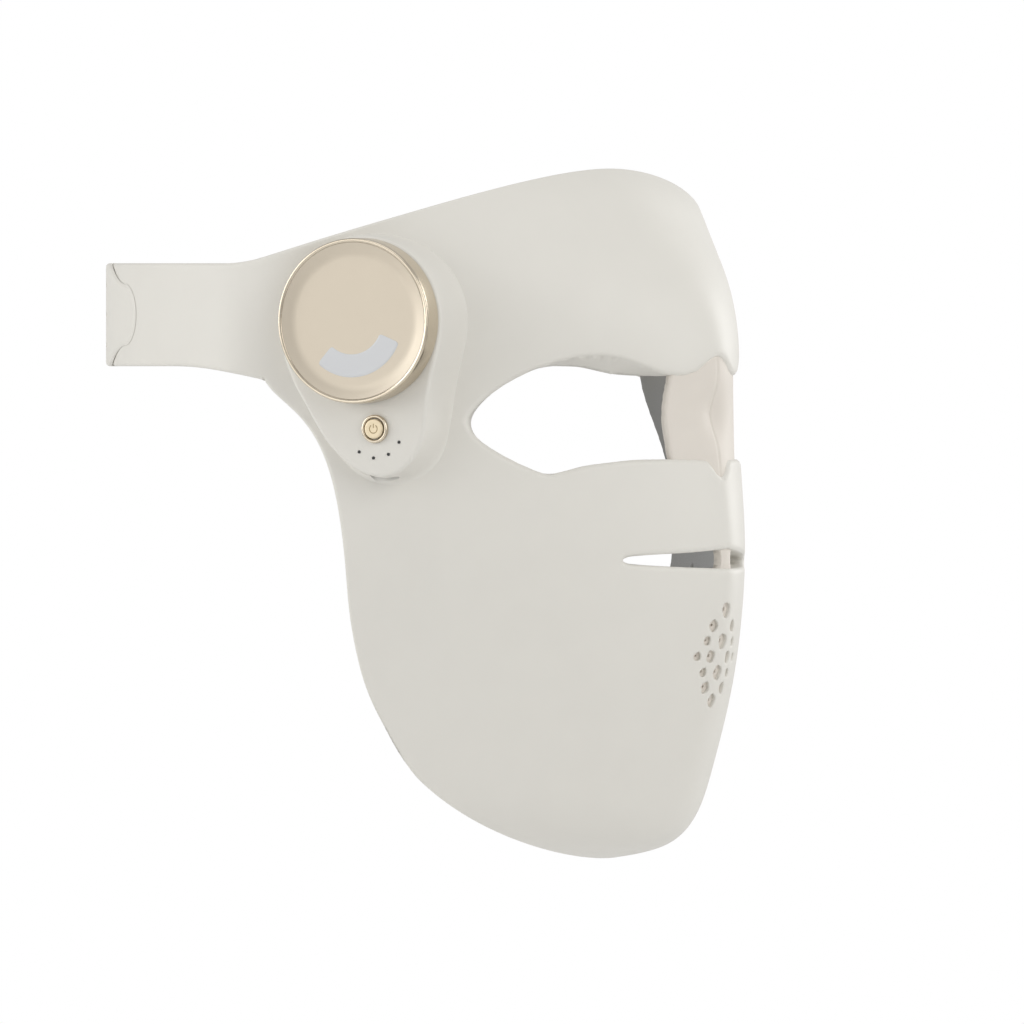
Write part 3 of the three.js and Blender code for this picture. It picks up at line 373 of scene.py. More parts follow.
    def find(self, goal: np.ndarray, seen: np.ndarray, start: tuple[float, float]) -> np.ndarray:
        """Places on the skin that project onto given spots, by Newton steps.

        Args:
            goal: spots in the projection, n by 2.
            seen: the projection, 2 by 3.
            start: first guess of up and across.

        Returns:
            up and across, n by 2.
        """
        place = np.tile(np.array(start, float), (len(goal), 1))
        h = 1e-3
        for _ in range(40):
            here = self.point(place[:, 0], place[:, 1]) @ seen.T
            du = (self.point(np.clip(place[:, 0] + h, 0, 1), place[:, 1]) @ seen.T - here) / h
            da = (self.point(place[:, 0], place[:, 1] + h) @ seen.T - here) / h
            miss = goal - here
            det = du[:, 0] * da[:, 1] - da[:, 0] * du[:, 1]
            step = np.stack(
                [miss[:, 0] * da[:, 1] - miss[:, 1] * da[:, 0], du[:, 0] * miss[:, 1] - du[:, 1] * miss[:, 0]], axis=1
            ) / np.where(np.abs(det) < 1e-9, 1e-9, det)[:, None]
            place += np.clip(step, -0.15, 0.15)
            place[:, 0] = np.clip(place[:, 0], 0, 0.998)
            place[:, 1] = np.clip(place[:, 1], -0.999, 0.999)
        return place


SKIN = Skin()
FRONT = np.array([[0, 1, 0], [0, 0, 1]], float)
SPAN = np.array([235.0, 112.0])
SEAM_UP = 8 / 13


def skin_surface(flat: np.ndarray) -> tuple[np.ndarray, np.ndarray]:
    """Skin points and normals at flat places, which are up and across in millimetres."""
    place = flat / SPAN
    return SKIN.point(place[:, 0], place[:, 1]), SKIN.normal(place[:, 0], place[:, 1])


def front_loop(points: Sequence[Sequence[float]], spacing: float) -> np.ndarray:
    """A closed front-view curve, side and height in millimetres, brought to flat places on the skin."""
    curve = closed_curve(points, spacing)
    start = (0.55, 0.0) if curve[:, 1].mean() > -25 else (0.35, 0.0)
    return SKIN.find(curve, FRONT, start) * SPAN


def mirrored(half: Sequence[Sequence[float]]) -> list[list[float]]:
    """A loop from its half of positive side: the half from top to bottom, then its mirror image back up."""
    other = [[-y, z] for y, z in reversed(half) if y > 0]
    return [list(p) for p in half] + other


# ---- Bodies made from a cut sheet


@dataclass
class Rim:
    """A closed edge of a sheet, as a flat loop, with how round it is and where it isn't an edge at all.

    The point flags in free are false on a seam, and ease counts the rounds that smooth the edge of the lower skin.
    """

    loop: np.ndarray
    round_out: float = 1.5
    round_in: float = 1.2
    free: Optional[np.ndarray] = None
    ease: int = 0


@dataclass
class Sheet:
    """A closed body between two depths under a surface, cut by loops and rounded along its rims.

    Rings at rising distances from each rim carry its round. The ones past far_from stand at even steps, so that a
    step in depth between two of them is a clean line.
    """

    surface: Surface
    outer: Rim
    holes: list[Rim] = field(default_factory=list)
    top: float = 0.0
    bottom: float | Callable[[np.ndarray, np.ndarray], np.ndarray] = 5.0
    spacing: float = 2.2
    rings: tuple[float, ...] = (0.12, 0.4, 0.8, 1.2, 1.6, 3.0, 3.2)
    far_from: float = 1.4
    far_step: float = 1.0
    more_edge: np.ndarray = field(default_factory=lambda: np.zeros((0, 3)))
    slant: Optional[Callable[[np.ndarray], np.ndarray]] = None
    slant_reach: float = 3.0
    wall_rows: int = 1
    undercut: Callable[[np.ndarray], np.ndarray] = lambda p: np.full(len(p), 0.45)

    def build(self, name: str, material: bpy.types.Material) -> bpy.types.Object:
        """Triangulates the flat domain, lifts it to both depths and closes its walls.

        Args:
            name: the piece's name.
            material: the finish.

        Returns:
            The object.
        """
        rims = [self.outer, *self.holes]
        flat, faces = self._triangles([r.loop for r in rims])
        place, normal = self.surface(flat)
        upper, lower = self._skins(flat, place, normal, rims)
        # rim edges: those of one triangle only
        pairs = np.vstack([faces[:, [0, 1]], faces[:, [1, 2]], faces[:, [2, 0]]])
        _, first, times = np.unique(np.sort(pairs, axis=1), axis=0, return_index=True, return_counts=True)
        border = pairs[first[times == 1]]
        walls, between = self._walls(border, upper, lower)
        sharp = None
        if self.outer.free is not None:
            seam_points, _ = self.surface(self.outer.loop[~self.outer.free])
            near = nearest(place[border.ravel()], seam_points).reshape(-1, 2).max(axis=1) < 0.3
            seam = border[near]
            sharp = [tuple(e) for e in seam] + [tuple(e + len(flat)) for e in seam]
        # (up, across) turns the right way round when seen from inside, so the outer skin is reversed
        skins = [*faces[:, ::-1].tolist(), *(faces + len(flat)).tolist()]
        return faces_out(make_object(name, np.vstack([upper, lower, *between]), [*skins, *walls], material, sharp))

    @staticmethod
    def flat_distance(points: np.ndarray, targets: np.ndarray) -> np.ndarray:
        """Distance in the flat domain."""
        pad = np.zeros((len(points), 1))
        return nearest(np.hstack([points, pad]), np.hstack([targets, np.zeros((len(targets), 1))]))

    @staticmethod
    def _within(points: np.ndarray, loops: list[np.ndarray]) -> np.ndarray:
        """Whether flat points lie inside the first loop and outside all others."""
        keep = inside(points, loops[0])
        for hole in loops[1:]:
            keep &= ~inside(points, hole)
        return keep

    def _triangles(self, loops: list[np.ndarray]) -> tuple[np.ndarray, np.ndarray]:
        """A Delaunay net over the flat domain, held to its loops, with rings along them and a lattice between.

        Args:
            loops: the outer loop and the holes.

        Returns:
            Flat points, the loops' own first, and triangles.
        """
        extra = [self._ring(loop, step, k > 0) for k, loop in enumerate(loops) for step in self.rings]
        low, high = loops[0].min(axis=0), loops[0].max(axis=0)
        ticks = [np.arange(low[k] + self.spacing / 2, high[k], self.spacing) for k in (0, 1)]
        lattice = np.stack(np.meshgrid(*ticks, indexing="ij"), axis=-1).reshape(-1, 2)
        every = np.vstack(loops)
        free_points = np.vstack([*extra, lattice])
        keep = self._within(free_points, loops)
        free_points = free_points[keep]
        gap = self.flat_distance(free_points, every)
        in_lattice = np.arange(len(free_points)) >= keep[: sum(len(e) for e in extra)].sum()
        far = np.where(in_lattice, gap > max(self.rings) + self.spacing * 0.35, gap > min(self.rings) * 0.7)
        coords = np.vstack([every, free_points[far]])
        edges, at = [], 0
        for loop in loops:
            index = np.arange(len(loop)) + at
            edges += np.stack([index, np.roll(index, -1)], axis=1).tolist()
            at += len(loop)
        result = delaunay_2d_cdt([Vector(c) for c in coords.tolist()], edges, [], 0, 1e-6)
        flat = np.array([tuple(v) for v in result[0]])
        faces = np.array([f for f in result[2] if len(f) == 3])
        faces = faces[self._within(flat[faces].mean(axis=1), loops)]
        a, b, c = flat[faces[:, 0]], flat[faces[:, 1]], flat[faces[:, 2]]
        area = (b - a)[:, 0] * (c - a)[:, 1] - (b - a)[:, 1] * (c - a)[:, 0]
        faces = np.where((area > 0)[:, None], faces, faces[:, ::-1])
        return flat, faces[np.abs(area) > 1e-9]

    def _ring(self, loop: np.ndarray, step: float, outwards: bool) -> np.ndarray:
        """A loop moved sideways by a step, into the sheet."""
        if step > self.far_from:
            loop = even_steps(loop, self.far_step, closed=True)
        x, y = loop.T
        turn = np.sum(x * np.roll(y, -1) - y * np.roll(x, -1))
        sign = (1 if turn > 0 else -1) * (1 if outwards else -1)
        moved = loop + beside(loop) * step * sign
        return moved[self.flat_distance(moved, loop) > step * 0.8]

    def _skins(
        self, flat: np.ndarray, place: np.ndarray, normal: np.ndarray, rims: list[Rim]
    ) -> tuple[np.ndarray, np.ndarray]:
        """Points of the upper and the lower skin: the surface let down by its depths, less at the rims' rounds.

        Args:
            flat: flat points.
            place: their points on the surface.
            normal: their normals.
            rims: the outer rim and the holes', in the order of the flat points.

        Returns:
            Upper and lower points.
        """
        up_depth = np.full(len(flat), self.top)
        reach = np.full(len(flat), np.inf)
        cut = np.zeros(len(flat))
        for rim in rims:
            on_rim, _ = self.surface(rim.loop)
            if rim.free is not None:
                on_rim = on_rim[rim.free]
            if rim is self.outer and len(self.more_edge):
                on_rim = np.vstack([on_rim, self.more_edge])
            gap = nearest(place, even_steps(on_rim, 0.4, closed=False) if rim.free is None else on_rim)
            gap = np.where(gap < 0.05, 0, gap)
            up_depth += round_depth(gap, rim.round_out)
            cut += round_depth(gap, rim.round_in)
            reach = np.minimum(reach, gap if rim.round_out > 1 else gap + 100)
        whole = self.bottom(flat, place) if callable(self.bottom) else np.full(len(flat), self.bottom)
        low_depth = whole - np.minimum(cut, self.undercut(place) * whole)
        up_depth = np.minimum(up_depth, low_depth - 0.05)
        lower = place - normal * low_depth[:, None]
        if self.slant is not None:
            lower = lower + self.slant(place) * np.clip(1 - reach / self.slant_reach, 0, 1)[:, None]
        start = 0
        for rim in rims:
            ring = slice(start, start + len(rim.loop))
            lower[ring] = eased(lower[ring], rim.ease)
            start += len(rim.loop)
        return place - normal * up_depth[:, None], lower

    def _walls(
        self, border: np.ndarray, upper: np.ndarray, lower: np.ndarray
    ) -> tuple[list[list[int]], list[np.ndarray]]:
        """Quads from the upper skin's border to the lower one's, in wall_rows rows.

        Args:
            border: vertex pairs along the rims.
            upper: points of the upper skin.
            lower: points of the lower skin.

        Returns:
            The quads, and the points of the rows between the skins.
        """
        count = len(upper)
        on_border, where = np.unique(border, return_inverse=True)
        where = where.reshape(border.shape)
        shares = np.arange(1, self.wall_rows) / self.wall_rows
        between = [upper[on_border] * (1 - f) + lower[on_border] * f for f in shares]
        rows = [border, *[2 * count + k * len(on_border) + where for k in range(len(shares))], border + count]
        walls = [np.stack([a[:, 0], a[:, 1], b[:, 1], b[:, 0]], axis=1) for a, b in zip(rows[:-1], rows[1:])]
        return np.vstack(walls).tolist(), between


# ---- Finishes


class Tone(Enum):
    """Colours of the finishes, as written on screen from 0 to 255."""

    SILICONE = (217, 214, 206)
    IVORY = (216, 209, 199)
    SMOKE = (118, 117, 113)
    GOLD = (216, 204, 184)
    SATIN_GOLD = (206, 195, 177)
    CAP_GOLD = (224, 208, 177)
    ENGRAVING = (160, 140, 104)
    FROST = (205, 206, 207)
    INK = (22, 22, 22)
    BOARD = (44, 92, 66)
    STEEL = (186, 188, 190)
    FOIL = (158, 166, 176)
    PALE_PLASTIC = (212, 212, 208)
    HOOKS = (208, 205, 198)

    def linear(self) -> tuple[float, float, float, float]:
        """The colour as linear light with alpha 1."""
        c = np.array(self.value) / 255
        lin = np.where(c <= 0.04045, c / 12.92, ((c + 0.055) / 1.055) ** 2.4)
        return (float(lin[0]), float(lin[1]), float(lin[2]), 1.0)


def wire(
    tree: bpy.types.NodeTree, nodes: dict[str, tuple[str, dict[str | int, object]]], links: Sequence[str]
) -> None:
    """Adds nodes to a shader tree and joins their sockets.

    Args:
        tree: the tree.
        nodes: by name, a node's type after the word ShaderNode, and its settings. A setting is a property of the
            node where it has one of that name, and else the value of the input of that name or number.
        links: each as "node.output > node.input", with names or numbers of sockets.
    """
    for name, (kind, settings) in nodes.items():
        node = tree.nodes.new("ShaderNode" + kind)
        node.name = name
        for label, value in settings.items():
            if isinstance(label, str) and hasattr(node, label):
                setattr(node, label, value)
            else:
                node.inputs[label].default_value = value

    def socket(end: str, side: str) -> bpy.types.NodeSocket:
        """The socket that one end of a link names."""
        name, label = end.split(".")
        return getattr(tree.nodes[name], side)[int(label) if label.isdigit() else label]

    for link in links:
        start, end = link.split(" > ")
        tree.links.new(socket(start, "outputs"), socket(end, "inputs"))


class EffectGroups:
    """Shader node groups that several finishes share; each puts out only colours, masks or heights."""

    def __init__(self) -> None:
        """Builds the groups once."""
        self.drift = self._drift()
        self.grain = self._grain()
        self.turning = self._turning()

    @staticmethod
    def _start(name: str, inputs: dict[str, object], outputs: dict[str, str]) -> bpy.types.NodeTree:
        """A group with its interface and its input and output nodes.

        Args:
            name: the group's name.
            inputs: socket name to default: a colour, a number, or None for a vector.
            outputs: socket name to kind of socket.

        Returns:
            The group.
        """
        tree = bpy.data.node_groups.new(name, "ShaderNodeTree")
        for label, value in inputs.items():
            kind = "Vector" if value is None else "Color" if isinstance(value, tuple) else "Float"
            socket = tree.interface.new_socket(label, in_out="INPUT", socket_type="NodeSocket" + kind)
            if value is not None:
                socket.default_value = value
        for label, kind in outputs.items():
            tree.interface.new_socket(label, in_out="OUTPUT", socket_type="NodeSocket" + kind)
        tree.nodes.new("NodeGroupInput").name = "in"
        tree.nodes.new("NodeGroupOutput").name = "out"
        return tree

    def _drift(self) -> bpy.types.NodeTree:
        """Slow change of tone over a moulded surface: two sizes of soft noise darken and lighten the base colour."""
        inputs = {
            "Color": (0.7, 0.7, 0.7, 1), "Shade": (0.6, 0.6, 0.6, 1), "Scale": 18.0, "Amount": 0.25, "Vector": None,
        }
        tree = self._start("tone_drift", inputs, {"Color": "Color", "Mask": "Float"})
        nodes = {
            "slow": ("TexNoise", {"Detail": 3}),
            "fast": ("TexNoise", {"Detail": 5}),
            "times": ("Math", {"operation": "MULTIPLY", 1: 9}),
            "add": ("Math", {"operation": "ADD"}),
            "spread": ("MapRange", {"From Min": 0.7, "From Max": 1.3}),
            "amount": ("Math", {"operation": "MULTIPLY"}),
            "mix": ("Mix", {"data_type": "RGBA"}),
        }
        links = (
            "in.Vector > slow.Vector", "in.Vector > fast.Vector", "in.Scale > slow.Scale", "in.Scale > times.0",
            "times.0 > fast.Scale", "slow.Fac > add.0", "fast.Fac > add.1", "add.0 > spread.Value",
            "spread.Result > amount.0", "in.Amount > amount.1", "amount.0 > mix.Factor", "in.Color > mix.A",
            "in.Shade > mix.B", "mix.Result > out.Color", "spread.Result > out.Mask",
        )
        wire(tree, nodes, links)
        return tree

    def _grain(self) -> bpy.types.NodeTree:
        """Fine moulded grain: a high noise with a few larger pits, as a height and a roughness."""
        inputs = {"Scale": 2500.0, "Rough Low": 0.4, "Rough High": 0.5, "Vector": None}
        tree = self._start("fine_grain", inputs, {"Height": "Float", "Roughness": "Float"})
        nodes = {
            "fine": ("TexNoise", {"Detail": 4}),
            "pits": ("TexVoronoi", {"feature": "SMOOTH_F1"}),
            "third": ("Math", {"operation": "MULTIPLY", 1: 0.3}),
            "add": ("Math", {"operation": "ADD"}),
            "rough": ("MapRange", {"From Min": 0.3, "From Max": 0.7}),
        }
        links = (
            "in.Vector > fine.Vector", "in.Vector > pits.Vector", "in.Scale > fine.Scale", "in.Scale > third.0",
            "third.0 > pits.Scale", "fine.Fac > add.0", "pits.Distance > add.1", "fine.Fac > rough.Value",
            "in.Rough Low > rough.To Min", "in.Rough High > rough.To Max", "add.0 > out.Height",
            "rough.Result > out.Roughness",
        )
        wire(tree, nodes, links)
        return tree

    def _turning(self) -> bpy.types.NodeTree:
        """Fine turned lines round a piece's axis: rings of noise by the distance from the axis, as a height."""
        tree = self._start("turned_lines", {"Scale": 900.0, "Vector": None}, {"Height": "Float", "Mask": "Float"})
        nodes = {
            "split": ("SeparateXYZ", {}),
            "flat": ("CombineXYZ", {}),
            "length": ("VectorMath", {"operation": "LENGTH"}),
            "noise": ("TexNoise", {"noise_dimensions": "1D", "Detail": 3}),
        }
        links = (
            "in.Vector > split.0", "split.X > flat.X", "split.Y > flat.Y", "flat.0 > length.0",
            "length.Value > noise.W", "in.Scale > noise.Scale", "noise.Fac > out.Height", "noise.Fac > out.Mask",
        )
        wire(tree, nodes, links)
        return tree


@dataclass(frozen=True)
class Finish:
    """A moulded or metal finish: its tones, its roughness between two values, and its grain."""

    name: str
    tone: Tone
    shade: float = 0.9
    drift: float = 0.3
    drift_scale: float = 14.0
    rough: tuple[float, float] = (0.45, 0.55)
    metallic: float = 0.0
    grain_scale: float = 2600.0
    bump: float = 0.05
    bump_depth: float = 0.0001
    specular: float = 0.5
    coat: float = 0.0
    sheen: float = 0.0
    turned: bool = False
    axis_place: tuple[float, float, float] = (0.0, 0.0, 0.0)
    axis_turn: tuple[float, float, float] = (0.0, 0.0, 0.0)

    def make(self, groups: EffectGroups) -> bpy.types.Material:
        """Builds the material.

        Args:
            groups: the shared effects.

        Returns:
            The material.
        """
        mat = bpy.data.materials.new(self.name)
        mat.use_nodes = True
        tree = mat.node_tree
        shader = tree.nodes["Principled BSDF"]
        for label, value in (
            ("Metallic", self.metallic),
            ("Specular IOR Level", self.specular),
            ("Coat Weight", self.coat),
            ("Coat Roughness", 0.12),
            ("Sheen Weight", self.sheen),
        ):
            shader.inputs[label].default_value = value
        base = self.tone.linear()
        drift = {
            "node_tree": groups.drift,
            "Color": base,
            "Shade": (*[v * self.shade for v in base[:3]], 1),
            "Scale": self.drift_scale,
            "Amount": self.drift,
        }
        low, high = self.rough
        grain = {"node_tree": groups.grain, "Scale": self.grain_scale, "Rough Low": low, "Rough High": high}
        nodes = {
            "where": ("TexCoord", {}),
            "drift": ("Group", drift),
            "grain": ("Group", grain),
            "bump": ("Bump", {"Strength": self.bump, "Distance": self.bump_depth}),
        }
        links = [
            "where.Object > drift.Vector", "where.Object > grain.Vector", "drift.Color > Principled BSDF.Base Color",
            "grain.Roughness > Principled BSDF.Roughness", "bump.Normal > Principled BSDF.Normal",
        ]
        if self.turned:
            spot = [v * MM for v in self.axis_place]
            where = {"vector_type": "TEXTURE", "Location": spot, "Rotation": self.axis_turn}
            nodes |= {"place": ("Mapping", where), "lines": ("Group", {"node_tree": groups.turning})}
            links += ["where.Object > place.Vector", "place.Vector > lines.Vector", "lines.Height > bump.Height"]
        else:
            links.append("grain.Height > bump.Height")
        wire(tree, nodes, links)
        return mat


# ---- The pod's own frame


@dataclass(frozen=True)
class PodFrame:
    """Axes of the flat top of the housing: along it, up, and out of it; along and height are the pod's centre."""

    turn: float = math.radians(15)
    reach: float = 85.906
    along: float = 3.9
    height: float = 28.7

    @property
    def out(self) -> np.ndarray:
        """Unit vector out of the housing."""
        return np.array([math.sin(self.turn), -math.cos(self.turn), 0])

    @property
    def forward(self) -> np.ndarray:
        """Unit vector forwards along the housing."""
        return np.array([math.cos(self.turn), math.sin(self.turn), 0])

    def place(self, along: np.ndarray, height: np.ndarray, level: np.ndarray) -> np.ndarray:
        """Shared-frame points of places along, up and out of the housing's flat top, in millimetres."""
        along, height, level = np.broadcast_arrays(along, height, level)
        return (
            along[..., None] * self.forward
            + (level[..., None] + self.reach) * self.out
            + height[..., None] * np.array([0, 0, 1.0])
        )

    def skin_level(self, along: np.ndarray, height: np.ndarray) -> np.ndarray:
        """Level of the skin under spots of the flat top."""
        seen = np.stack([self.forward, np.array([0, 0, 1.0])])
        goal = np.stack([along, height], axis=1)
        place = SKIN.find(goal, seen, (0.7, -0.75))
        return SKIN.point(place[:, 0], place[:, 1]) @ self.out - self.reach


POD = PodFrame()


def pod_lathe(
    name: str,
    centre: tuple[float, float],
    profile: Sequence[tuple[float, float]],
    material: bpy.types.Material,
    sides: int,
) -> bpy.types.Object:
    """A turned piece round an axis out of the housing.

    Each profile point (radius, level) is carried round the axis: place = centre + radius (cos a, sin a) at its level.

    Args:
        name: the piece's name.
        centre: along and height of the axis.
        profile: radius and level from the first end to the last; ends with radius 0 are closed by one point.
        material: the finish.
        sides: steps round the axis.

    Returns:
        The object.
    """
    line = np.asarray(profile, float)
    closed = line[0, 0] > 1e-6
    body = line if closed else line[1:-1]
    angle = np.linspace(0, 2 * np.pi, sides, endpoint=False)
    r, h = body[:, :1], body[:, 1:]
    points = POD.place(centre[0] + r * np.cos(angle), centre[1] + r * np.sin(angle), h + 0 * angle).reshape(-1, 3)
    if closed:
        faces = grid_faces(len(body), sides, wrap_rows=True, wrap_columns=True)
    else:
        tips = [POD.place(*(np.array([v]) for v in (*centre, end[1]))) for end in (line[0], line[-1])]
        points = np.vstack([points, *tips])
        faces = capped_tube(len(body), sides)
    return faces_out(make_object(name, points, faces, material))


def rounded_profile(points: Pairs, rounds: Sequence[float], steps: int) -> list[tuple[float, float]]:
    """A profile whose corners are rounded.

    Each corner is replaced by a quadratic curve that starts and ends its round's length from the corner.

    Args:
        points: corners as radius and level.
        rounds: how far from each corner its curve starts; 0 keeps it sharp.
        steps: steps of each curve.

    Returns:
        The new profile.
    """
    p = np.asarray(points, float)
    out = []
    for i, r in enumerate(rounds):
        if r <= 0 or i in (0, len(p) - 1):
            out.append(tuple(p[i]))
            continue
        a, b = p[i - 1] - p[i], p[i + 1] - p[i]
        a *= min(r, np.linalg.norm(a) * 0.49) / np.linalg.norm(a)
        b *= min(r, np.linalg.norm(b) * 0.49) / np.linalg.norm(b)
        t = np.linspace(0, 1, steps + 1)[:, None]
        curve = (1 - t) ** 2 * (p[i] + a) + 2 * t * (1 - t) * p[i] + t**2 * (p[i] + b)
        out += [tuple(v) for v in curve]
    return out


# ---- Sub-assemblies


@dataclass
class FaceShell:
    """The silicone shell with its goggle opening, mouth slit and mouth holes, its lens, bridge, tie and screen.

    Depths are pairs, a piece's outer and inner one under the skin. Outlines are front views, side and height.
    """

    rim_depth: float = 7.0
    edge_depth: tuple[float, float] = (2.6, 5.6)
    wall: float = 2.2
    lip: float = 3.0
    lip_end: float = 3.1
    lens_depths: tuple[float, float] = (5.6, 6.8)
    lens_inset: float = 4.2
    lens_gap: float = 0.5
    bridge_depths: tuple[float, float] = (1.0, 5.4)
    tie_depths: tuple[float, float] = (1.1, 5.0)
    screen_depths: tuple[float, float] = (1.3, 3.6)
    mouth_middle: float = -69.6
    lens_mouth: tuple[float, float] = (11.2, 17.2)
    screen_size: tuple[float, float] = (10.2, 16.2)
    slit_middle: float = -41.4
    dome_seat: float = 6.75
    dome_radius: float = 2.6
    dome_height: float = 0.7
    dome_fields: tuple[tuple[float, float, float, float, int, int], ...] = (
        (0.7, 0.92, -0.5, 0.5, 2, 6), (0.15, 0.4, -0.9, -0.51, 4, 2), (0.15, 0.4, 0.51, 0.9, 4, 2),
        (0.075, 0.24, -0.4, 0.4, 2, 5),
    )
    chin_round: tuple[float, float] = (0.08, 0.12)
    goggle_half: Pairs = (
        (0, 18.25), (3.1, 17.2), (5.9, 15.4), (8.4, 13.6), (11.75, 12.6), (14.4, 12.6), (16.95, 13), (19.45, 14.1),
        (21.9, 15.1), (24.3, 16.3), (26.6, 17.2), (28.9, 17.8), (31.2, 18.1), (33.8, 18.1), (36.4, 17.8), (39, 17.05),
        (41.05, 16.3), (42.9, 15.4), (46.2, 13.6), (48.3, 12), (50.4, 10.2), (52.2, 8.3), (54.1, 6.1), (55.4, 4.3),
        (56.55, 2.5), (57.4, 0.8), (57.85, -1.1), (57.6, -2.9), (57, -4.7), (56, -6.55), (54.8, -8.1), (53, -10),
        (51.1, -11.7), (49.2, -13.2), (47.2, -14.6), (45.2, -15.8), (43.4, -16.6), (41.5, -16.1), (38.9, -15.2),
        (35.8, -14.1), (29.1, -12.9), (24.4, -12.3), (15.7, -12.1), (9.3, -12.2), (5.9, -12.45), (4.1, -13.5),
        (1.9, -16.2), (0, -17.1),
    )
    lens_goggle_half: Pairs = (
        (0, 21.4), (6, 17.2), (13.1, 15.9), (18.6, 17.9), (25.1, 20.2), (31.2, 21.6), (38.5, 20.8), (44.2, 18.9),
        (50, 15.2), (56.3, 9.9), (60.4, 4.2), (61.5, -0.9), (60.9, -5), (59.6, -8.4), (55.6, -14), (51, -17.3),
        (44.2, -20.4), (37.4, -18.3), (29.6, -16.1), (19.7, -15.5), (8.3, -15.6), (3.5, -17.8), (0, -20.6),
    )
    slit_half: Pairs = (
        (0, -38.5), (2.2, -38.7), (11.2, -39.6), (23.9, -40.6), (26.8, -41.1), (27.9, -42.0), (26.8, -42.9),
        (23.8, -43.4), (13.8, -44.0), (2.2, -44.4), (0, -44.4),
    )
    tie_half: Pairs = ((3.3, -37.6), (2.8, -39.2), (2.3, -41.5), (2.7, -43.8), (3.2, -45.4))
    hole_rows: tuple[tuple[float, Pairs], ...] = (
        (-56.6, ((0, 1.0),)),
        (-61.3, ((-4.2, 0.78), (4.2, 0.78))),
        (-65.8, ((-5.7, 0.6), (0, 1.0), (5.7, 0.6))),
        (-70.4, ((-8.0, 0.58), (-3.8, 0.8), (3.8, 0.8), (8.0, 0.58))),
        (-75.1, ((-5.4, 0.6), (0, 1.0), (5.4, 0.6))),
        (-79.6, ((-3.7, 0.78), (3.7, 0.78))),
        (-83.4, ((0, 0.9),)),
    )
    hole_size: tuple[float, float] = (3.5, 4.6)
    bridge_edges: Pairs = (
        (0.42, 0.205), (0.45, 0.224), (0.48, 0.23), (0.506, 0.234), (0.53, 0.235), (0.554, 0.225), (0.586, 0.205),
        (0.62, 0.19), (0.66, 0.18),
    )
    brow_drops: Pairs = (
        (12, 0), (14.4, 0.3), (17, 0.8), (19.5, 1.8), (22, 2.9), (25, 4.2), (28.5, 5.2), (31, 4.8), (34, 3.7),
        (37, 2.6), (40, 1.6), (43, 0.6), (46, 0),
    )

    def mouth_loops(self, share: float) -> list[np.ndarray]:
        """Flat loops of the mouth holes.

        Each is a closed curve whose radius is that of an ellipse, swelled by a small wave of three or four lobes.

        Args:
            share: size of the loops against the holes.

        Returns:
            The loops.
        """
        a = np.linspace(0, 2 * np.pi, 14, endpoint=False)
        spots = [(side, height, size) for height, row in self.hole_rows for side, size in row]
        loops = []
        for k, (side, height, size) in enumerate(spots):
            wave = 1 + 0.07 * np.sin((3 + k % 2) * a + 1.7 * k)
            wide, tall = (v / 2 * size * share for v in self.hole_size)
            curve = np.stack([side + wide * wave * np.cos(a), height + tall * wave * np.sin(a)], axis=1)
            loops.append(front_loop(curve, 0.42))
        return loops

    def mouth_oval(self, size: tuple[float, float], count: int) -> np.ndarray:
        """An upright oval round all mouth holes in the front view, of two half sizes, through a count of points."""
        turns = np.linspace(0, 2 * np.pi, count, endpoint=False)
        return np.array([[size[0] * math.cos(a), self.mouth_middle + size[1] * math.sin(a)] for a in turns])

    def outline(self, inset: float) -> tuple[np.ndarray, np.ndarray]:
        """The shell's outer loop on the flat domain, and which of its points are a free edge.

        Args:
            inset: how far the loop lies inside the shell's edge, in millimetres.

        Returns:
            The loop and a mask that is false on the seams with the band.
        """
        u, a = inset / SPAN[0], inset / SPAN[1]
        seam, (ru, ra) = SEAM_UP, self.chin_round
        t = np.linspace(0, 1, 400)[:, None]
        corners = (
            ((u, ra - 1 + a), None, (u, 1 - a - ra)),
            ((u, 1 - a - ra), (u, 1 - a), (u + ru, 1 - a)),
            ((u + ru, 1 - a), None, (seam, 1 - a)),
            ((seam, 1 - a), None, (1 - u, 1 - a)),
            ((1 - u, 1 - a), None, (1 - u, a - 1)),
            ((1 - u, a - 1), None, (seam, a - 1)),
            ((seam, a - 1), None, (u + ru, a - 1)),
            ((u + ru, a - 1), (u, a - 1), (u, ra - 1 + a)),
        )
        sides, flags = [], []
        for i, (start, corner, end) in enumerate(corners):
            p, q = np.asarray(start), np.asarray(end)
            c = (p + q) / 2 if corner is None else np.asarray(corner)
            line = (1 - t) ** 2 * p + 2 * t * (1 - t) * c + t**2 * q
            true = SKIN.point(line[:, 0], line[:, 1])
            run = np.concatenate([[0], np.cumsum(np.linalg.norm(np.diff(true, axis=0), axis=1))])
            count = max(int(run[-1] / 1.1), 4)
            at = np.linspace(0, run[-1], count, endpoint=False)
            if i in (3, 5):
                close = np.array([0.12, 0.3, 0.55, 0.85])
                at = np.sort(np.concatenate([at, close, run[-1] - close]))
            sides.append(np.stack([np.interp(at, run, line[:, k]) for k in (0, 1)], axis=1))
            flags.append(np.full(len(at), i not in (3, 5)))
            flags[-1][0] = True
        return np.vstack(sides) * SPAN, np.concatenate(flags)

    def brow_slant(self, place: np.ndarray) -> np.ndarray:
        """How the goggle's upper wall leans down towards the inside.

        Args:
            place: skin points.

        Returns:
            Offsets of the inner skin, down by the table of sides and drops.
        """
        sides, drops = np.array(self.brow_drops).T
        drop = np.zeros_like(place)
        height = place[:, 2]
        at_brow = smoothstep(height, 6, 11) * (1 - smoothstep(height, 28, 36))
        drop[:, 2] = -np.interp(np.abs(place[:, 1]), sides, drops) * at_brow
        return drop

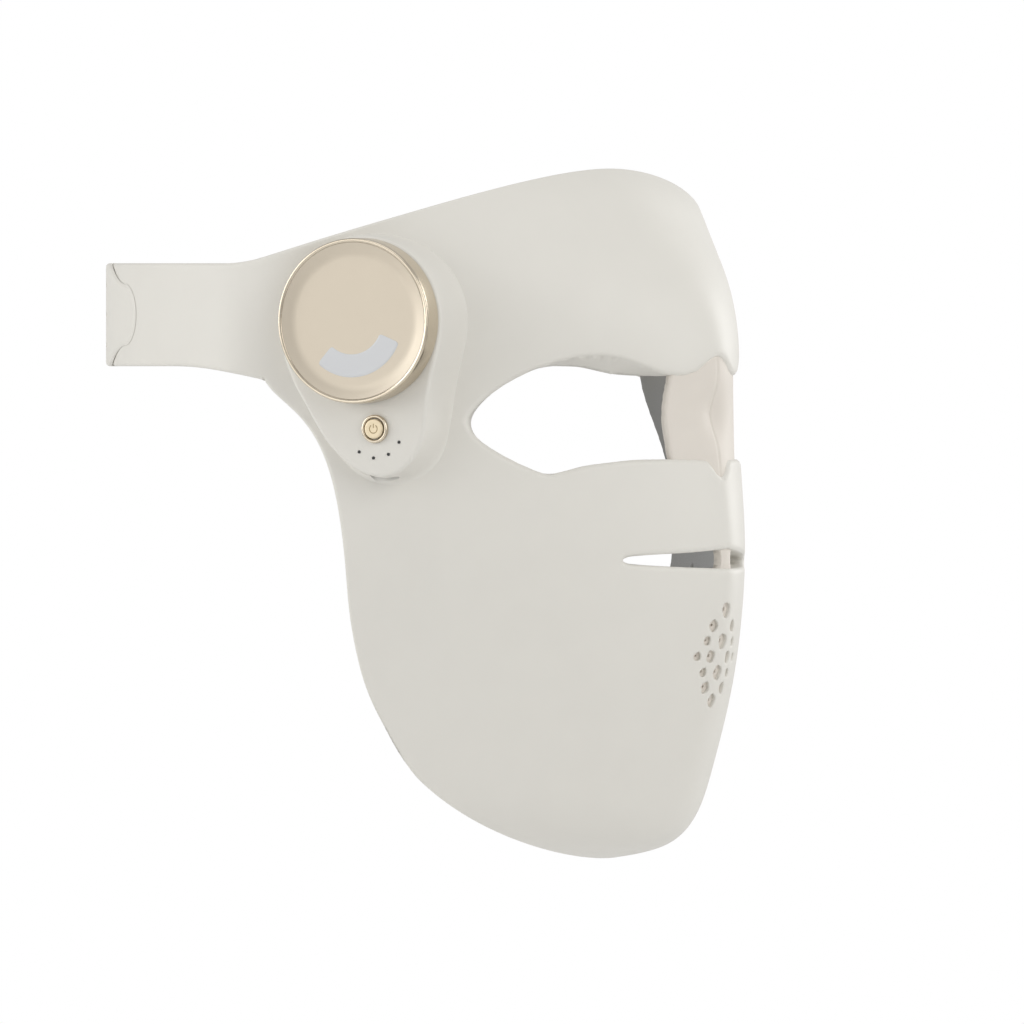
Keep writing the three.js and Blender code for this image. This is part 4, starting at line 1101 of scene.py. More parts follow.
    def build_shell(self, material: bpy.types.Material, band_edge: np.ndarray) -> bpy.types.Object:
        """The shell's silicone body.

        Args:
            material: the finish.
            band_edge: points of the band's edges, so that the round of the rim runs on into it.

        Returns:
            The object.
        """
        loop, free = self.outline(0)
        holes = [
            Rim(front_loop(mirrored(self.goggle_half), 0.8), 1.6, 1.2, ease=16),
            Rim(front_loop(mirrored(self.slit_half), 0.6), 1.2, 1.0),
        ]
        holes += [Rim(h, 0.45, 0.2) for h in self.mouth_loops(1.0)]
        edge_line = even_steps(loop, 0.5, closed=True)
        cuts = np.vstack([even_steps(h.loop, 0.5, closed=True) for h in holes[:2]])

        def bottom(flat: np.ndarray, place: np.ndarray) -> np.ndarray:
            """Full depth along the openings, a tapered rim along the outer edge, the pocket's roof elsewhere."""
            from_edge = Sheet.flat_distance(flat, edge_line)
            low, high = self.edge_depth
            tapered = low + (high - low) * np.clip(from_edge / self.lip, 0, 1)
            rim = np.where(from_edge < self.lip_end, tapered, self.rim_depth)
            from_rims = np.minimum(Sheet.flat_distance(flat, cuts), from_edge)
            return np.where(from_rims < self.lip_end, rim, self.wall)

        sheet = Sheet(
            skin_surface,
            Rim(loop, 1.2, 1.0, free),
            holes,
            bottom=bottom,
            spacing=2.0,
            wall_rows=5,
            more_edge=band_edge,
            slant=self.brow_slant,
        )
        return sheet.build("shell_skin", material)

    def build_lens(self, material: bpy.types.Material) -> bpy.types.Object:
        """The smoked lens that lines the inside; its slit is the shell's, moved outwards by the lip."""
        loop, _ = self.outline(self.lens_inset)
        slit = np.asarray(mirrored(self.slit_half), float)
        side = beside(slit)
        away = np.sign(((slit - [0, self.slit_middle]) * side).sum(axis=1).mean())
        slit = slit + side * (self.lip + self.lens_gap) * away
        cuts = (mirrored(self.lens_goggle_half), slit, self.mouth_oval(self.lens_mouth, 16))
        holes = [Rim(front_loop(line, 1.2), 0.5, 0.4) for line in cuts]
        top, bottom = self.lens_depths
        sheet = Sheet(skin_surface, Rim(loop, 0.5, 0.4), holes, top, bottom, spacing=3.0, rings=(0.15, 0.45, 1.0))
        return sheet.build("lens_lining", material)

    def build_bridge(self, material: bpy.types.Material) -> bpy.types.Object:
        """The ivory saddle behind the goggle's middle: a strip of the skin at a depth, waisted at its middle."""
        ups = np.linspace(0.425, 0.655, 60)
        places, widths = np.array(self.bridge_edges).T
        waist = np.interp(ups, places, widths)
        waist[2:-2] = (waist[:-4] + 2 * waist[1:-3] + 2 * waist[2:-2] + 2 * waist[3:-1] + waist[4:]) / 8
        right = np.stack([ups, -waist], axis=1)
        left = np.stack([ups[::-1], waist[::-1]], axis=1)
        loop = even_steps(np.vstack([right, left]) * SPAN, 0.8, closed=True)

        def surface(flat: np.ndarray) -> tuple[np.ndarray, np.ndarray]:
            """The skin with its ridge flattened at the middle, so that it reads as a saddle, and a crease down it."""
            p, n = skin_surface(flat)
            side = p[:, 1]
            dip = 3.2 * np.exp(-(((p[:, 2] - 1) / 7) ** 2) - (side / 6) ** 2)
            crease = 0.3 * np.exp(-((side / 0.45) ** 2))
            return p - n * (dip + crease)[:, None], n

        sheet = Sheet(surface, Rim(loop, 1.2, 1.0), [], *self.bridge_depths, spacing=1.0, rings=(0.12, 0.4, 0.8, 1.2))
        return sheet.build("bridge_saddle", material)

    def build_tie(self, material: bpy.types.Material) -> bpy.types.Object:
        """The small waisted tie across the slit's middle."""
        loop = closed_curve([*self.tie_half, *[(-y, z) for y, z in reversed(self.tie_half)]], 0.35)
        flat = SKIN.find(loop, FRONT, (0.39, 0.0)) * SPAN
        sheet = Sheet(skin_surface, Rim(flat, 0.5, 0.4), [], *self.tie_depths, spacing=0.6, rings=(0.1, 0.3, 0.5))
        return sheet.build("slit_tie_bar", material)

    def build_screen(self, material: bpy.types.Material) -> bpy.types.Object:
        """The ivory screen behind the mouth holes, with a smaller hole in each."""
        rim = Rim(front_loop(self.mouth_oval(self.screen_size, 20), 1.0), 0.3, 0.3)
        holes = [Rim(h, 0.15, 0.1) for h in self.mouth_loops(0.28)]
        sheet = Sheet(skin_surface, rim, holes, *self.screen_depths, spacing=1.4, rings=(0.15, 0.5))
        return sheet.build("mouth_screen_sheet", material)

    def build_domes(self, material: bpy.types.Material) -> bpy.types.Object:
        """Small lens domes on the lining over the lamps.

        A dome is a cap: at the angle b from its rim the ring has the radius r cos b and stands h sin b proud.

        Args:
            material: the finish.

        Returns:
            The object, one piece for all domes.
        """
        spots = []
        for low, high, left, right, rows, columns in self.dome_fields:
            ups = low + (np.arange(rows) + 0.5) / rows * (high - low)
            sides = left + (np.arange(columns) + 0.5) / columns * (right - left)
            spots += [(u, a) for u in ups for a in sides]
        where = np.array(spots)
        p, n = SKIN.point(where[:, 0], where[:, 1]), SKIN.normal(where[:, 0], where[:, 1])
        side = unit(np.cross(n, [0, 0, 1.0]))
        other = np.cross(n, side)
        rise = np.linspace(0, np.pi / 2, 6)[:-1]
        levels = np.concatenate([[-0.5], np.sin(rise)])
        radii = np.concatenate([[1.0], np.cos(rise)]) * self.dome_radius
        depth = self.dome_seat + np.where(levels < 0, levels, levels * self.dome_height)
        angle = np.linspace(0, 2 * np.pi, 20, endpoint=False)[:, None]
        p, n, side, other = (v[:, None, None] for v in (p, n, side, other))
        spokes = np.cos(angle) * side + np.sin(angle) * other
        rings = p + radii[:, None, None] * spokes - depth[:, None, None] * n
        tips = np.concatenate([p - depth[0] * n, p - (self.dome_seat + self.dome_height) * n], axis=2)
        points = np.concatenate([rings.reshape(len(p), -1, 3), tips[:, 0]], axis=1)
        dome = capped_tube(len(radii), len(angle))
        faces = [[i + k * points.shape[1] for i in face] for k in range(len(p)) for face in dome]
        return faces_out(make_object("lamp_domes", points.reshape(-1, 3), faces, material))

    def build(self, finishes: dict[str, bpy.types.Material], band_edge: np.ndarray) -> None:
        """Builds and seats every piece of the shell.

        Args:
            finishes: materials by name.
            band_edge: points of the band's edges.
        """
        seat(
            (
                (self.build_shell(finishes["silicone"], band_edge), "mask", "silicone", ("outer_shell",)),
                (self.build_lens(finishes["smoke"]), "mask", "dark_lens", ("inner_liner",)),
                (self.build_bridge(finishes["ivory"]), "mask", "ivory", ("nose_bridge",)),
                (self.build_tie(finishes["ivory"]), "mask", "ivory", ("slit_tie",)),
                (self.build_screen(finishes["ivory"]), "mask", "ivory", ("mouth_screen",)),
                (self.build_domes(finishes["smoke"]), "mask", "dark_lens", ()),
            )
        )


class Side(Enum):
    """The wearer's two sides."""

    RIGHT = -1
    LEFT = 1


@dataclass
class HeadBand:
    """The band round the head in two lengths; the left one ends in a tongue that lies over the right one."""

    centre: float = -20.0
    half_length: float = 92.0
    half_width: float = 91.2
    middle: float = 30.5
    height: float = 30.4
    wall: float = 2.6
    root_drop: float = 19.5
    root_rise: float = 16.7
    taper: tuple[float, float] = (36.0, 14.6)
    seam: float = -8.0
    bend_end: float = -30.0
    leave_run: float = 24.0
    tongue_wall: float = 1.8
    gap: float = 0.3
    lift_turns: tuple[float, float] = (math.radians(120), math.radians(152))
    tip_radius: float = 9.0
    tip_length: float = 26.0
    tip_fall: float = 0.78
    tip_taper: float = 46.0
    tip_flat: float = 2.0
    corner: float = 4.0
    right_end: float = math.radians(197)
    tongue_end: float = math.radians(242.3)
    slot_turns: tuple[float, ...] = (202, 211, 219.75)
    slot_rows: float = 8.85
    slot_length: float = 7.0
    slot_tall: float = 1.2

    @property
    def seam_turn(self) -> float:
        """Turn of the band's ellipse at the seam."""
        return math.acos((self.seam - self.centre) / self.half_length)

    @property
    def mean_radius(self) -> float:
        """Mean radius, by which a turn becomes a length."""
        return (self.half_length + self.half_width) / 2

    def length_at(self, turn: np.ndarray | float) -> np.ndarray | float:
        """Length along the band from the seam to a turn."""
        return (turn - self.seam_turn) * self.mean_radius

    def tip_share(self, length: np.ndarray, total: float) -> np.ndarray:
        """What the taper towards the tongue's tip leaves of a thickness, at lengths along the band."""
        return 1 - self.tip_fall * smoothstep(length, total - self.tip_taper, total - self.tip_flat)

    def edge_at_seam(self, height: np.ndarray) -> tuple[np.ndarray, np.ndarray]:
        """Skin points on the seam and the skin's level direction across it, for the left side.

        Args:
            height: heights on the seam.

        Returns:
            Points and unit directions, each n by 2, forwards and sideways.
        """
        up = np.linspace(SEAM_UP, 1, 200)
        edge = SKIN.point(up, np.ones_like(up))
        go = unit((edge - SKIN.point(up, np.full_like(up, 0.99)))[:, :2])
        table = np.hstack([edge[:, :2], go])
        found = np.stack([np.interp(height, edge[:, 2], table[:, k]) for k in range(4)], axis=1)
        return found[:, :2], found[:, 2:]

    def surface(self, side: Side, end: float, tongue: bool) -> Surface:
        """The band's outer surface over flat places: length behind the seam, and share of the height times it.

        Behind the seam it leaves the skin straight on and turns smoothly into the ellipse's wall.

        Args:
            side: which length.
            end: turn of its end.
            tongue: whether it lifts over the other length.

        Returns:
            The surface.
        """
        total = self.length_at(end)

        def at(flat: np.ndarray) -> np.ndarray:
            """Points of the surface."""
            length = flat[:, 0]
            turn = self.seam_turn + length / self.mean_radius
            low_ease, high_ease = ((1 - np.clip(length / run, 0, 1)) ** 2.2 for run in self.taper)
            low = self.middle - self.height / 2 - (self.root_drop - self.height / 2) * low_ease
            high = self.middle + self.height / 2 + (self.root_rise - self.height / 2) * high_ease
            level = low + (high - low) * flat[:, 1] / self.height
            lift = smoothstep(turn, *self.lift_turns) * (self.gap + self.tongue_wall) * tongue
            lift = lift * self.tip_share(length, total)
            cos, sin = np.cos(turn), np.sin(turn)
            nx, ny = cos / self.half_length, sin / self.half_width
            size = np.hypot(nx, ny)
            x = self.centre + self.half_length * cos + nx / size * lift
            y = self.half_width * sin + ny / size * lift
            edge, go = self.edge_at_seam(level)
            near = 1 - smoothstep(length, 0, self.leave_run)[:, None]
            p = (edge + go * length[:, None]) * near + np.stack([x, y], axis=1) * (1 - near)
            return np.stack([p[:, 0], p[:, 1] * side.value, level], axis=1)

        def both(flat: np.ndarray) -> tuple[np.ndarray, np.ndarray]:
            """Points and outward normals, by the cross product of differences."""
            h = 0.05
            along = at(flat + [h, 0]) - at(flat - [h, 0])
            rise = at(flat + [0, h]) - at(flat - [0, h])
            n = unit(np.cross(along, rise) * -side.value)
            flip = np.sign((n * (at(flat) - [self.centre, 0, self.middle])).sum(axis=1, keepdims=True))
            return at(flat), n * flip

        return both

    def half_height(self, left: np.ndarray) -> np.ndarray:
        """Half height of the tongue at lengths before its tip: a half round that widens to the band."""
        inner = np.sqrt(np.maximum(self.tip_radius**2 - (self.tip_radius - np.minimum(left, self.tip_radius)) ** 2, 0))
        share = smoothstep(left, self.tip_radius, self.tip_radius + self.tip_length)
        outer = self.tip_radius + (self.height / 2 - self.tip_radius) * share
        return np.where(left < self.tip_radius, inner, outer)

    def _outline(self, total: float, tongue: bool) -> np.ndarray:
        """Flat line round a length's free edges, from the seam along the top, round the end and back."""
        centre = self.height / 2
        if tongue:
            last = 1 - np.linspace(0, 1, 24)[1:]
            run = np.concatenate([np.linspace(0, total - self.tip_radius, 260), total - self.tip_radius * last**1.6])
            half = self.half_height(total - run)
        else:
            run = np.linspace(0, total, 220)
            left = total - run
            inner = np.sqrt(np.maximum(self.corner**2 - (self.corner - left) ** 2, 0))
            half = np.where(left < self.corner, centre - self.corner + inner, centre)
        top = np.stack([run, centre + half], axis=1)
        foot = np.stack([run, centre - half], axis=1)[::-1]
        return even_steps(np.vstack([top, foot]), 1.0, closed=False)

    def _slots(self) -> list[Rim]:
        """Rims of the tongue's slots: bars with round ends, three to a row."""
        r = self.slot_tall / 2
        half = self.slot_length / 2 - r
        a = np.linspace(-np.pi / 2, np.pi / 2, 7)
        holes = []
        for turn in self.slot_turns:
            x = self.length_at(math.radians(turn))
            for row in (-1, 0, 1):
                y = self.height / 2 + row * self.slot_rows
                right = np.stack([x + half + r * np.cos(a), y + r * np.sin(a)], axis=1)
                left = np.stack([x - half - r * np.cos(a), y - r * np.sin(a)], axis=1)
                holes.append(Rim(even_steps(np.vstack([right, left]), 0.45, closed=True), 0.25, 0.2))
        return holes

    def build_length(self, side: Side, material: bpy.types.Material) -> bpy.types.Object:
        """One length of the band.

        Args:
            side: which length.
            material: the finish.

        Returns:
            The object.
        """
        tongue = side is Side.LEFT
        end = self.tongue_end if tongue else self.right_end
        total = self.length_at(end)
        loop = self._outline(total, tongue)
        close = np.array([0.1, 0.25, 0.45, 0.7])
        levels = np.concatenate([close, np.linspace(0, self.height, 32)[1:-1], self.height - close[::-1]])
        seam_line = np.stack([np.zeros(len(levels)), levels], axis=1)
        free = np.concatenate([np.ones(len(loop), bool), np.zeros(len(seam_line), bool)])
        inner_edge = SKIN.point(*self._shell_edges())
        inner_edge[:, 1] *= side.value

        def lying(place: np.ndarray) -> tuple[np.ndarray, np.ndarray]:
            """Turns of points round the head, and how far they are on the part that lies over the other length."""
            turn = np.arctan2(place[:, 1] / self.half_width, (place[:, 0] - self.centre) / self.half_length)
            turn = turn % (2 * np.pi)
            return turn, smoothstep(turn, *self.lift_turns) * tongue

        def undercut(place: np.ndarray) -> np.ndarray:
            """Share of the wall that the inner round may take: hardly any where the tongue lies flat."""
            return 0.45 - 0.42 * lying(place)[1]

        def bottom(flat: np.ndarray, place: np.ndarray) -> np.ndarray:
            """Wall thickness: the band's wall, thinner on the tongue and thinner still at its tip."""
            if not tongue:
                return np.full(len(place), self.wall)
            turn, share = lying(place)
            wall = self.wall + (self.tongue_wall - self.wall) * share
            return wall * self.tip_share(self.length_at(turn), total)

        sheet = Sheet(
            self.surface(side, end, tongue),
            Rim(np.vstack([loop, seam_line]), 1.2, 1.0, free),
            self._slots() if tongue else [],
            bottom=bottom,
            spacing=1.9,
            rings=(0.1, 0.3, 0.6, 0.9, 1.4),
            more_edge=inner_edge,
            undercut=undercut,
        )
        return sheet.build("left_band" if tongue else "right_band", material)

    @staticmethod
    def _shell_edges() -> tuple[np.ndarray, np.ndarray]:
        """Places of the shell's top and jaw edges near the seam, on the left."""
        a = np.linspace(0.85, 1, 60)[:-1]
        u = np.linspace(0.45, SEAM_UP, 60)[:-1]
        return np.concatenate([np.ones(59), u]), np.concatenate([a, np.ones(59)])

    def edge_points(self) -> np.ndarray:
        """Points of both lengths' edges near the seam."""
        run = np.linspace(0.1, 12, 60)
        edges = [np.stack([run, np.full_like(run, level)], axis=1) for level in (0.0, self.height)]
        return np.vstack([self.surface(side, self.right_end, False)(edge)[0] for side in Side for edge in edges])

    def build(self, finishes: dict[str, bpy.types.Material]) -> None:
        """Builds both lengths, bakes their places into their meshes and hides their CAD bodies."""
        for side in Side:
            body = "left_strap" if side is Side.LEFT else "right_strap"
            obj = self.build_length(side, finishes["silicone"])
            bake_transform(obj)
            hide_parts(body)
            LOG.info("%s: %d faces", obj.name, len(obj.data.polygons))


@dataclass
class ControlPod:
    """The housing on the right temple with its gold pod, arc window, power button and port.

    Places on it are along and height in the pod's frame, levels are out of the housing's flat top, in millimetres.
    """

    wide: float = 25.1
    middle: tuple[float, float] = (POD.along, 18.0)
    button: tuple[float, float] = (7.6, -3.2)
    edge_round: float = 1.3
    steps: int = 220
    foot_sink: float = 0.12
    under_skin: float = 1.0
    port_place: tuple[float, float] = (7.9, -5.7)
    port_half: float = 4.65
    port_round: float = 1.75
    port_run: tuple[float, float] = (-26.0, -12.5)
    arc_radius: float = 13.3
    arc_half: float = 3.4
    arc_turns: tuple[float, float] = (math.radians(-131), math.radians(-22.5))
    arc_shift: float = -1.0
    arc_corner: float = 0.9
    symbol_radius: float = 1.25
    low_edge: Pairs = (
        (-22.4, 20.0), (-21.2, 15.0), (-19.3, 10.1), (-16.1, 4.8), (-12.3, -1.6), (-8.3, -7.4), (-3.2, -12.2),
        (2.0, -15.7), (7.5, -17.4), (12.5, -17.1), (17.2, -14.6), (20.8, -10.9), (23.0, -5.9), (23.9, 0.5),
        (24.7, 7.0), (25.9, 13.0), (27.5, 19.0),
    )
    ring_line: Pairs = (
        (23.25, 0.35), (24.1, 0.35), (24.45, 0.7), (24.45, 7.4), (24.25, 8.15), (23.7, 8.2), (23.25, 7.95),
        (23.25, 6.0),
    )
    ring_rounds: tuple[float, ...] = (0, 0.1, 0.2, 0.7, 0.4, 0.35, 0.15, 0)
    face_line: Pairs = ((0, 5.2), (23.1, 5.2), (23.2, 5.3), (23.2, 7.9), (20.0, 6.75), (17.5, 6.7), (0, 6.7))
    face_rounds: tuple[float, ...] = (0, 0.05, 0.05, 0.05, 1.2, 1.2, 0)
    bezel_line: Pairs = ((3.25, 0.1), (4.2, 0.1), (4.2, 0.9), (3.95, 1.25), (3.5, 1.25), (3.25, 0.95), (3.25, 0.1))
    bezel_rounds: tuple[float, ...] = (0, 0.05, 0.3, 0.25, 0.2, 0.2, 0)
    cap_line: Pairs = (
        (0, -3.4), (1.5, -3.4), (1.5, -3.0), (3.7, -3.0), (3.7, -2.35), (2.92, -2.35), (2.92, 1.55), (2.3, 1.6),
        (0, 1.52),
    )
    cap_rounds: tuple[float, ...] = (0, 0.1, 0.1, 0.1, 0.1, 0.1, 0.35, 0.3, 0)

    def outline(self) -> tuple[np.ndarray, np.ndarray]:
        """The edge of the housing's flat top: a round part above and a drawn-out one below.

        Returns:
            Evenly spaced points and their outward normals, in along and height.
        """
        a = np.radians(np.linspace(-9, 187, 15))
        above = np.stack([POD.along + self.wide * np.cos(a), POD.height + self.wide * np.sin(a)], axis=1)
        dense = closed_curve([*above.tolist(), *self.low_edge], 0.2)
        line = eased(dense[np.linspace(0, len(dense), self.steps, endpoint=False).astype(int)], 6)
        return line, beside(line)

    def build_housing(self, material: bpy.types.Material) -> bpy.types.Object:
        """The moulded housing that grows out of the skin.

        Round the teardrop runs a profile: a rounded edge, then a cubic curve down the wall that lands on the skin and
        leaves along it, so that the foot is a soft fillet. The flat top closes it above and a sheet just under the
        skin closes it below.

        Args:
            material: the finish.

        Returns:
            The object.
        """
        line, out = self.outline()
        middle = np.array(self.middle)
        drop = -POD.skin_level(*line.T)
        foot_reach = eased(0.9 + 1.9 * smoothstep(-line[:, 1], 4, 16), 10)
        foot = line + out * foot_reach[:, None]
        inner = line + out * (foot_reach * 0.35)[:, None]
        foot_level, inner_level = POD.skin_level(*foot.T), POD.skin_level(*inner.T)
        rounding = np.minimum(self.edge_round, np.maximum(drop, 0.2) * 0.5)
        rings = [(line * s + middle * (1 - s), np.zeros(len(line))) for s in (0.3, 0.6, 0.85)]
        for b in np.linspace(0, np.pi / 2, 7):
            rings.append((line - out * (rounding * (1 - np.sin(b)))[:, None], -rounding * (1 - np.cos(b))))
        spots = (line, line + out * 0.35, inner, foot)
        low_level = inner_level + 0.25 * np.minimum(drop, 1) - 0.1
        levels = (-rounding, inner_level * 0.75, low_level, foot_level - self.foot_sink)
        for t in np.linspace(0, 1, 16)[1:]:
            w = ((1 - t) ** 3, 3 * t * (1 - t) ** 2, 3 * t * t * (1 - t), t**3)
            rings.append(tuple(sum(k * q for k, q in zip(w, row)) for row in (spots, levels)))
        for s in (0.9, 0.6, 0.3):
            spot = foot * s + middle * (1 - s)
            rings.append((spot, POD.skin_level(*spot.T) - self.under_skin))
        points = [POD.place(*p.T, h) for p, h in rings]
        tip = middle[:, None]
        points += [POD.place(*tip, np.zeros(1)), POD.place(*tip, POD.skin_level(*tip) - self.under_skin)]
        faces = capped_tube(len(rings), len(line))
        return faces_out(make_object("housing_cover", np.vstack(points), faces, material))

    def cut_port(self, housing: bpy.types.Object) -> None:
        """Cuts the charging port's mouth into the housing's foot."""
        a = np.linspace(-np.pi / 2, np.pi / 2, 12)
        r = self.port_round
        right = np.stack([self.port_half - r + r * np.cos(a), r * np.sin(a)], axis=1)
        loop = np.vstack([right, -right])
        along, level = self.port_place
        ends = [POD.place(along + loop[:, 0], np.full(len(loop), z), loop[:, 1] + level) for z in self.port_run]
        ring = np.arange(len(loop))
        faces = grid_faces(2, len(loop), wrap_columns=True) + [ring[::-1].tolist(), (ring + len(loop)).tolist()]
        cutter = faces_out(make_object("port_cutter", np.vstack(ends), faces, housing.data.materials[0]))
        cut = housing.modifiers.new("port", "BOOLEAN")
        cut.operation, cut.solver, cut.object = "DIFFERENCE", "EXACT", cutter
        bpy.context.view_layer.update()
        done = bpy.data.meshes.new_from_object(housing.evaluated_get(bpy.context.evaluated_depsgraph_get()))
        housing.modifiers.clear()
        housing.data = done
        bpy.data.objects.remove(cutter)
        done.shade_smooth()
        done.set_sharp_from_angle(angle=math.radians(50))

    def build_ring(self, material: bpy.types.Material) -> bpy.types.Object:
        """The spun gold ring: a straight side and a thin rolled rim."""
        line = rounded_profile(self.ring_line, self.ring_rounds, 8)
        return pod_lathe("pod_gold_ring", (POD.along, POD.height), line, material, 192)

    def build_face(self, material: bpy.types.Material) -> bpy.types.Object:
        """The satin face inside the ring: flat at its middle, with a hollow band that climbs to the rim."""
        line = rounded_profile(self.face_line, self.face_rounds, 4)
        return pod_lathe("pod_satin_face", (POD.along, POD.height), line, material, 192)

    def build_arc(self, material: bpy.types.Material) -> bpy.types.Object:
        """The frosted arc window: a ring segment with round corners, set in the cap's face.

        Rows run along the arc, from its foot on one side over a low crown to the foot on the other. Near both ends
        they draw together, which rounds the corners.

        Args:
            material: the finish.

        Returns:
            The object.
        """
        count = 96
        a = np.linspace(*self.arc_turns, count)
        across = np.concatenate([[-1.0, -1.0], np.linspace(-0.97, 0.97, 12), [1.0, 1.0]])[:, None]
        level = np.concatenate([[5.6, 6.7], np.full(12, 6.78), [6.7, 5.6]])[:, None]
        end_run = np.minimum(a - a[0], a[-1] - a[0] - (a - a[0])) * 14 / self.arc_corner
        drawn = self.arc_corner / 3.1 * (1 - np.sqrt(np.maximum(1 - (1 - end_run) ** 2, 0)))
        squeeze = np.where(end_run < 1, 1 - drawn, 1)
        r = self.arc_radius + self.arc_half * across * squeeze
        points = POD.place(POD.along + self.arc_shift + r * np.cos(a), POD.height + r * np.sin(a), level)
        faces = grid_faces(len(across), count, wrap_rows=True)
        left = np.arange(len(across)) * count
        faces += [left.tolist(), (left + count - 1)[::-1].tolist()]
        obj = faces_out(make_object("arc_glow_window", points.reshape(-1, 3), faces, material))
        obj.data.set_sharp_from_angle(angle=math.radians(40))
        return obj

    def build_button(self, finishes: dict[str, bpy.types.Material]) -> list[tuple[bpy.types.Object, str, str, tuple]]:
        """The bezel, the cap and the power symbol on it.

        Args:
            finishes: materials by name.

        Returns:
            Each piece with its body, slot and the nodes it replaces.
        """
        bezel = rounded_profile(self.bezel_line, self.bezel_rounds, 5)[:-1]
        cap = rounded_profile(self.cap_line, self.cap_rounds, 5)
        return [
            (
                pod_lathe("button_bezel_ring", self.button, bezel, finishes["gold"], 72),
                "mask", "gold", ("button_bezel",),
            ),
            (
                pod_lathe("button_cap", self.button, cap, finishes["cap_gold"], 72),
                "power_button", "gold", ("power_button",),
            ),
            (self._symbol(finishes["engraving"]), "power_button", "gold", ()),
        ]

    def _symbol(self, material: bpy.types.Material) -> bpy.types.Object:
        """The power symbol: an open ring and a short bar, as strips just proud of the cap.

        A strip is a line of points widened by half its width to both sides and given a top and a bottom.

        Args:
            material: the finish.

        Returns:
            The object.
        """
        a = np.radians(np.linspace(125, 415, 40))
        ring = self.symbol_radius * np.stack([np.cos(a), np.sin(a)], axis=1)
        bar = np.stack([np.zeros(6), np.linspace(0.35, 1.55, 6)], axis=1)
        section = ((-0.13, 1.45), (0.13, 1.45), (0.13, 1.6), (-0.13, 1.6))
        points, faces, base = [], [], 0
        for line in (ring, bar):
            side = beside(line, closed=False)
            rows = [POD.place(*(line + side * s + self.button).T, h) for s, h in section]
            points.append(np.stack(rows, axis=1).reshape(-1, 3))
            last = base + 4 * (len(line) - 1)
            faces += (np.array(grid_faces(len(line), 4, wrap_columns=True)) + base).tolist()
            faces += [[base + 3, base + 2, base + 1, base], [last, last + 1, last + 2, last + 3]]
            base = last + 4
        obj = make_object("power_symbol", np.vstack(points), faces, material)
        work = bmesh.new()
        work.from_mesh(obj.data)
        bmesh.ops.recalc_face_normals(work, faces=work.faces)
        work.to_mesh(obj.data)
        work.free()
        return obj

    def build(self, finishes: dict[str, bpy.types.Material]) -> None:
        """Builds and seats the pod's pieces.

        Args:
            finishes: materials by name.
        """
        housing = self.build_housing(finishes["silicone"])
        self.cut_port(housing)
        seat(
            (
                (housing, "mask", "silicone", ("pod_base",)),
                (self.build_ring(finishes["gold"]), "mask", "gold", ("pod_ring",)),
                (self.build_face(finishes["satin_gold"]), "mask", "satin_gold", ("pod_face",)),
                (self.build_arc(finishes["frost"]), "mask", "pale_window", ("arc_window",)),
                *self.build_button(finishes),
            )
        )


@dataclass
class InnerParts:
    """CAD nodes that stay as they are and get a finish."""

    dress: tuple[tuple[str, str], ...] = (
        ("lamp_board", "board"), ("control_board", "board"), ("button_board", "board"), ("arc_light_guide", "frost"),
        ("battery_cell", "foil"), ("button_switch", "ink"), ("indicator_pipe", "ink"), ("charging_socket", "steel"),
        ("housing_screw", "steel"), ("pod_back_plate", "pale_plastic"), ("hook_pad", "hooks"), ("loop_pad", "hooks"),
    )

    def build(self, finishes: dict[str, bpy.types.Material]) -> None:
        """Gives each shown CAD node its finish.

        Args:
            finishes: materials by name.
        """
        for node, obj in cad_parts.items():
            for part, name in self.dress:
                if part in node:
                    obj.data.materials.clear()
                    obj.data.materials.append(finishes[name])
                    LOG.info("%s: %s", node, name)


# ---- Studio


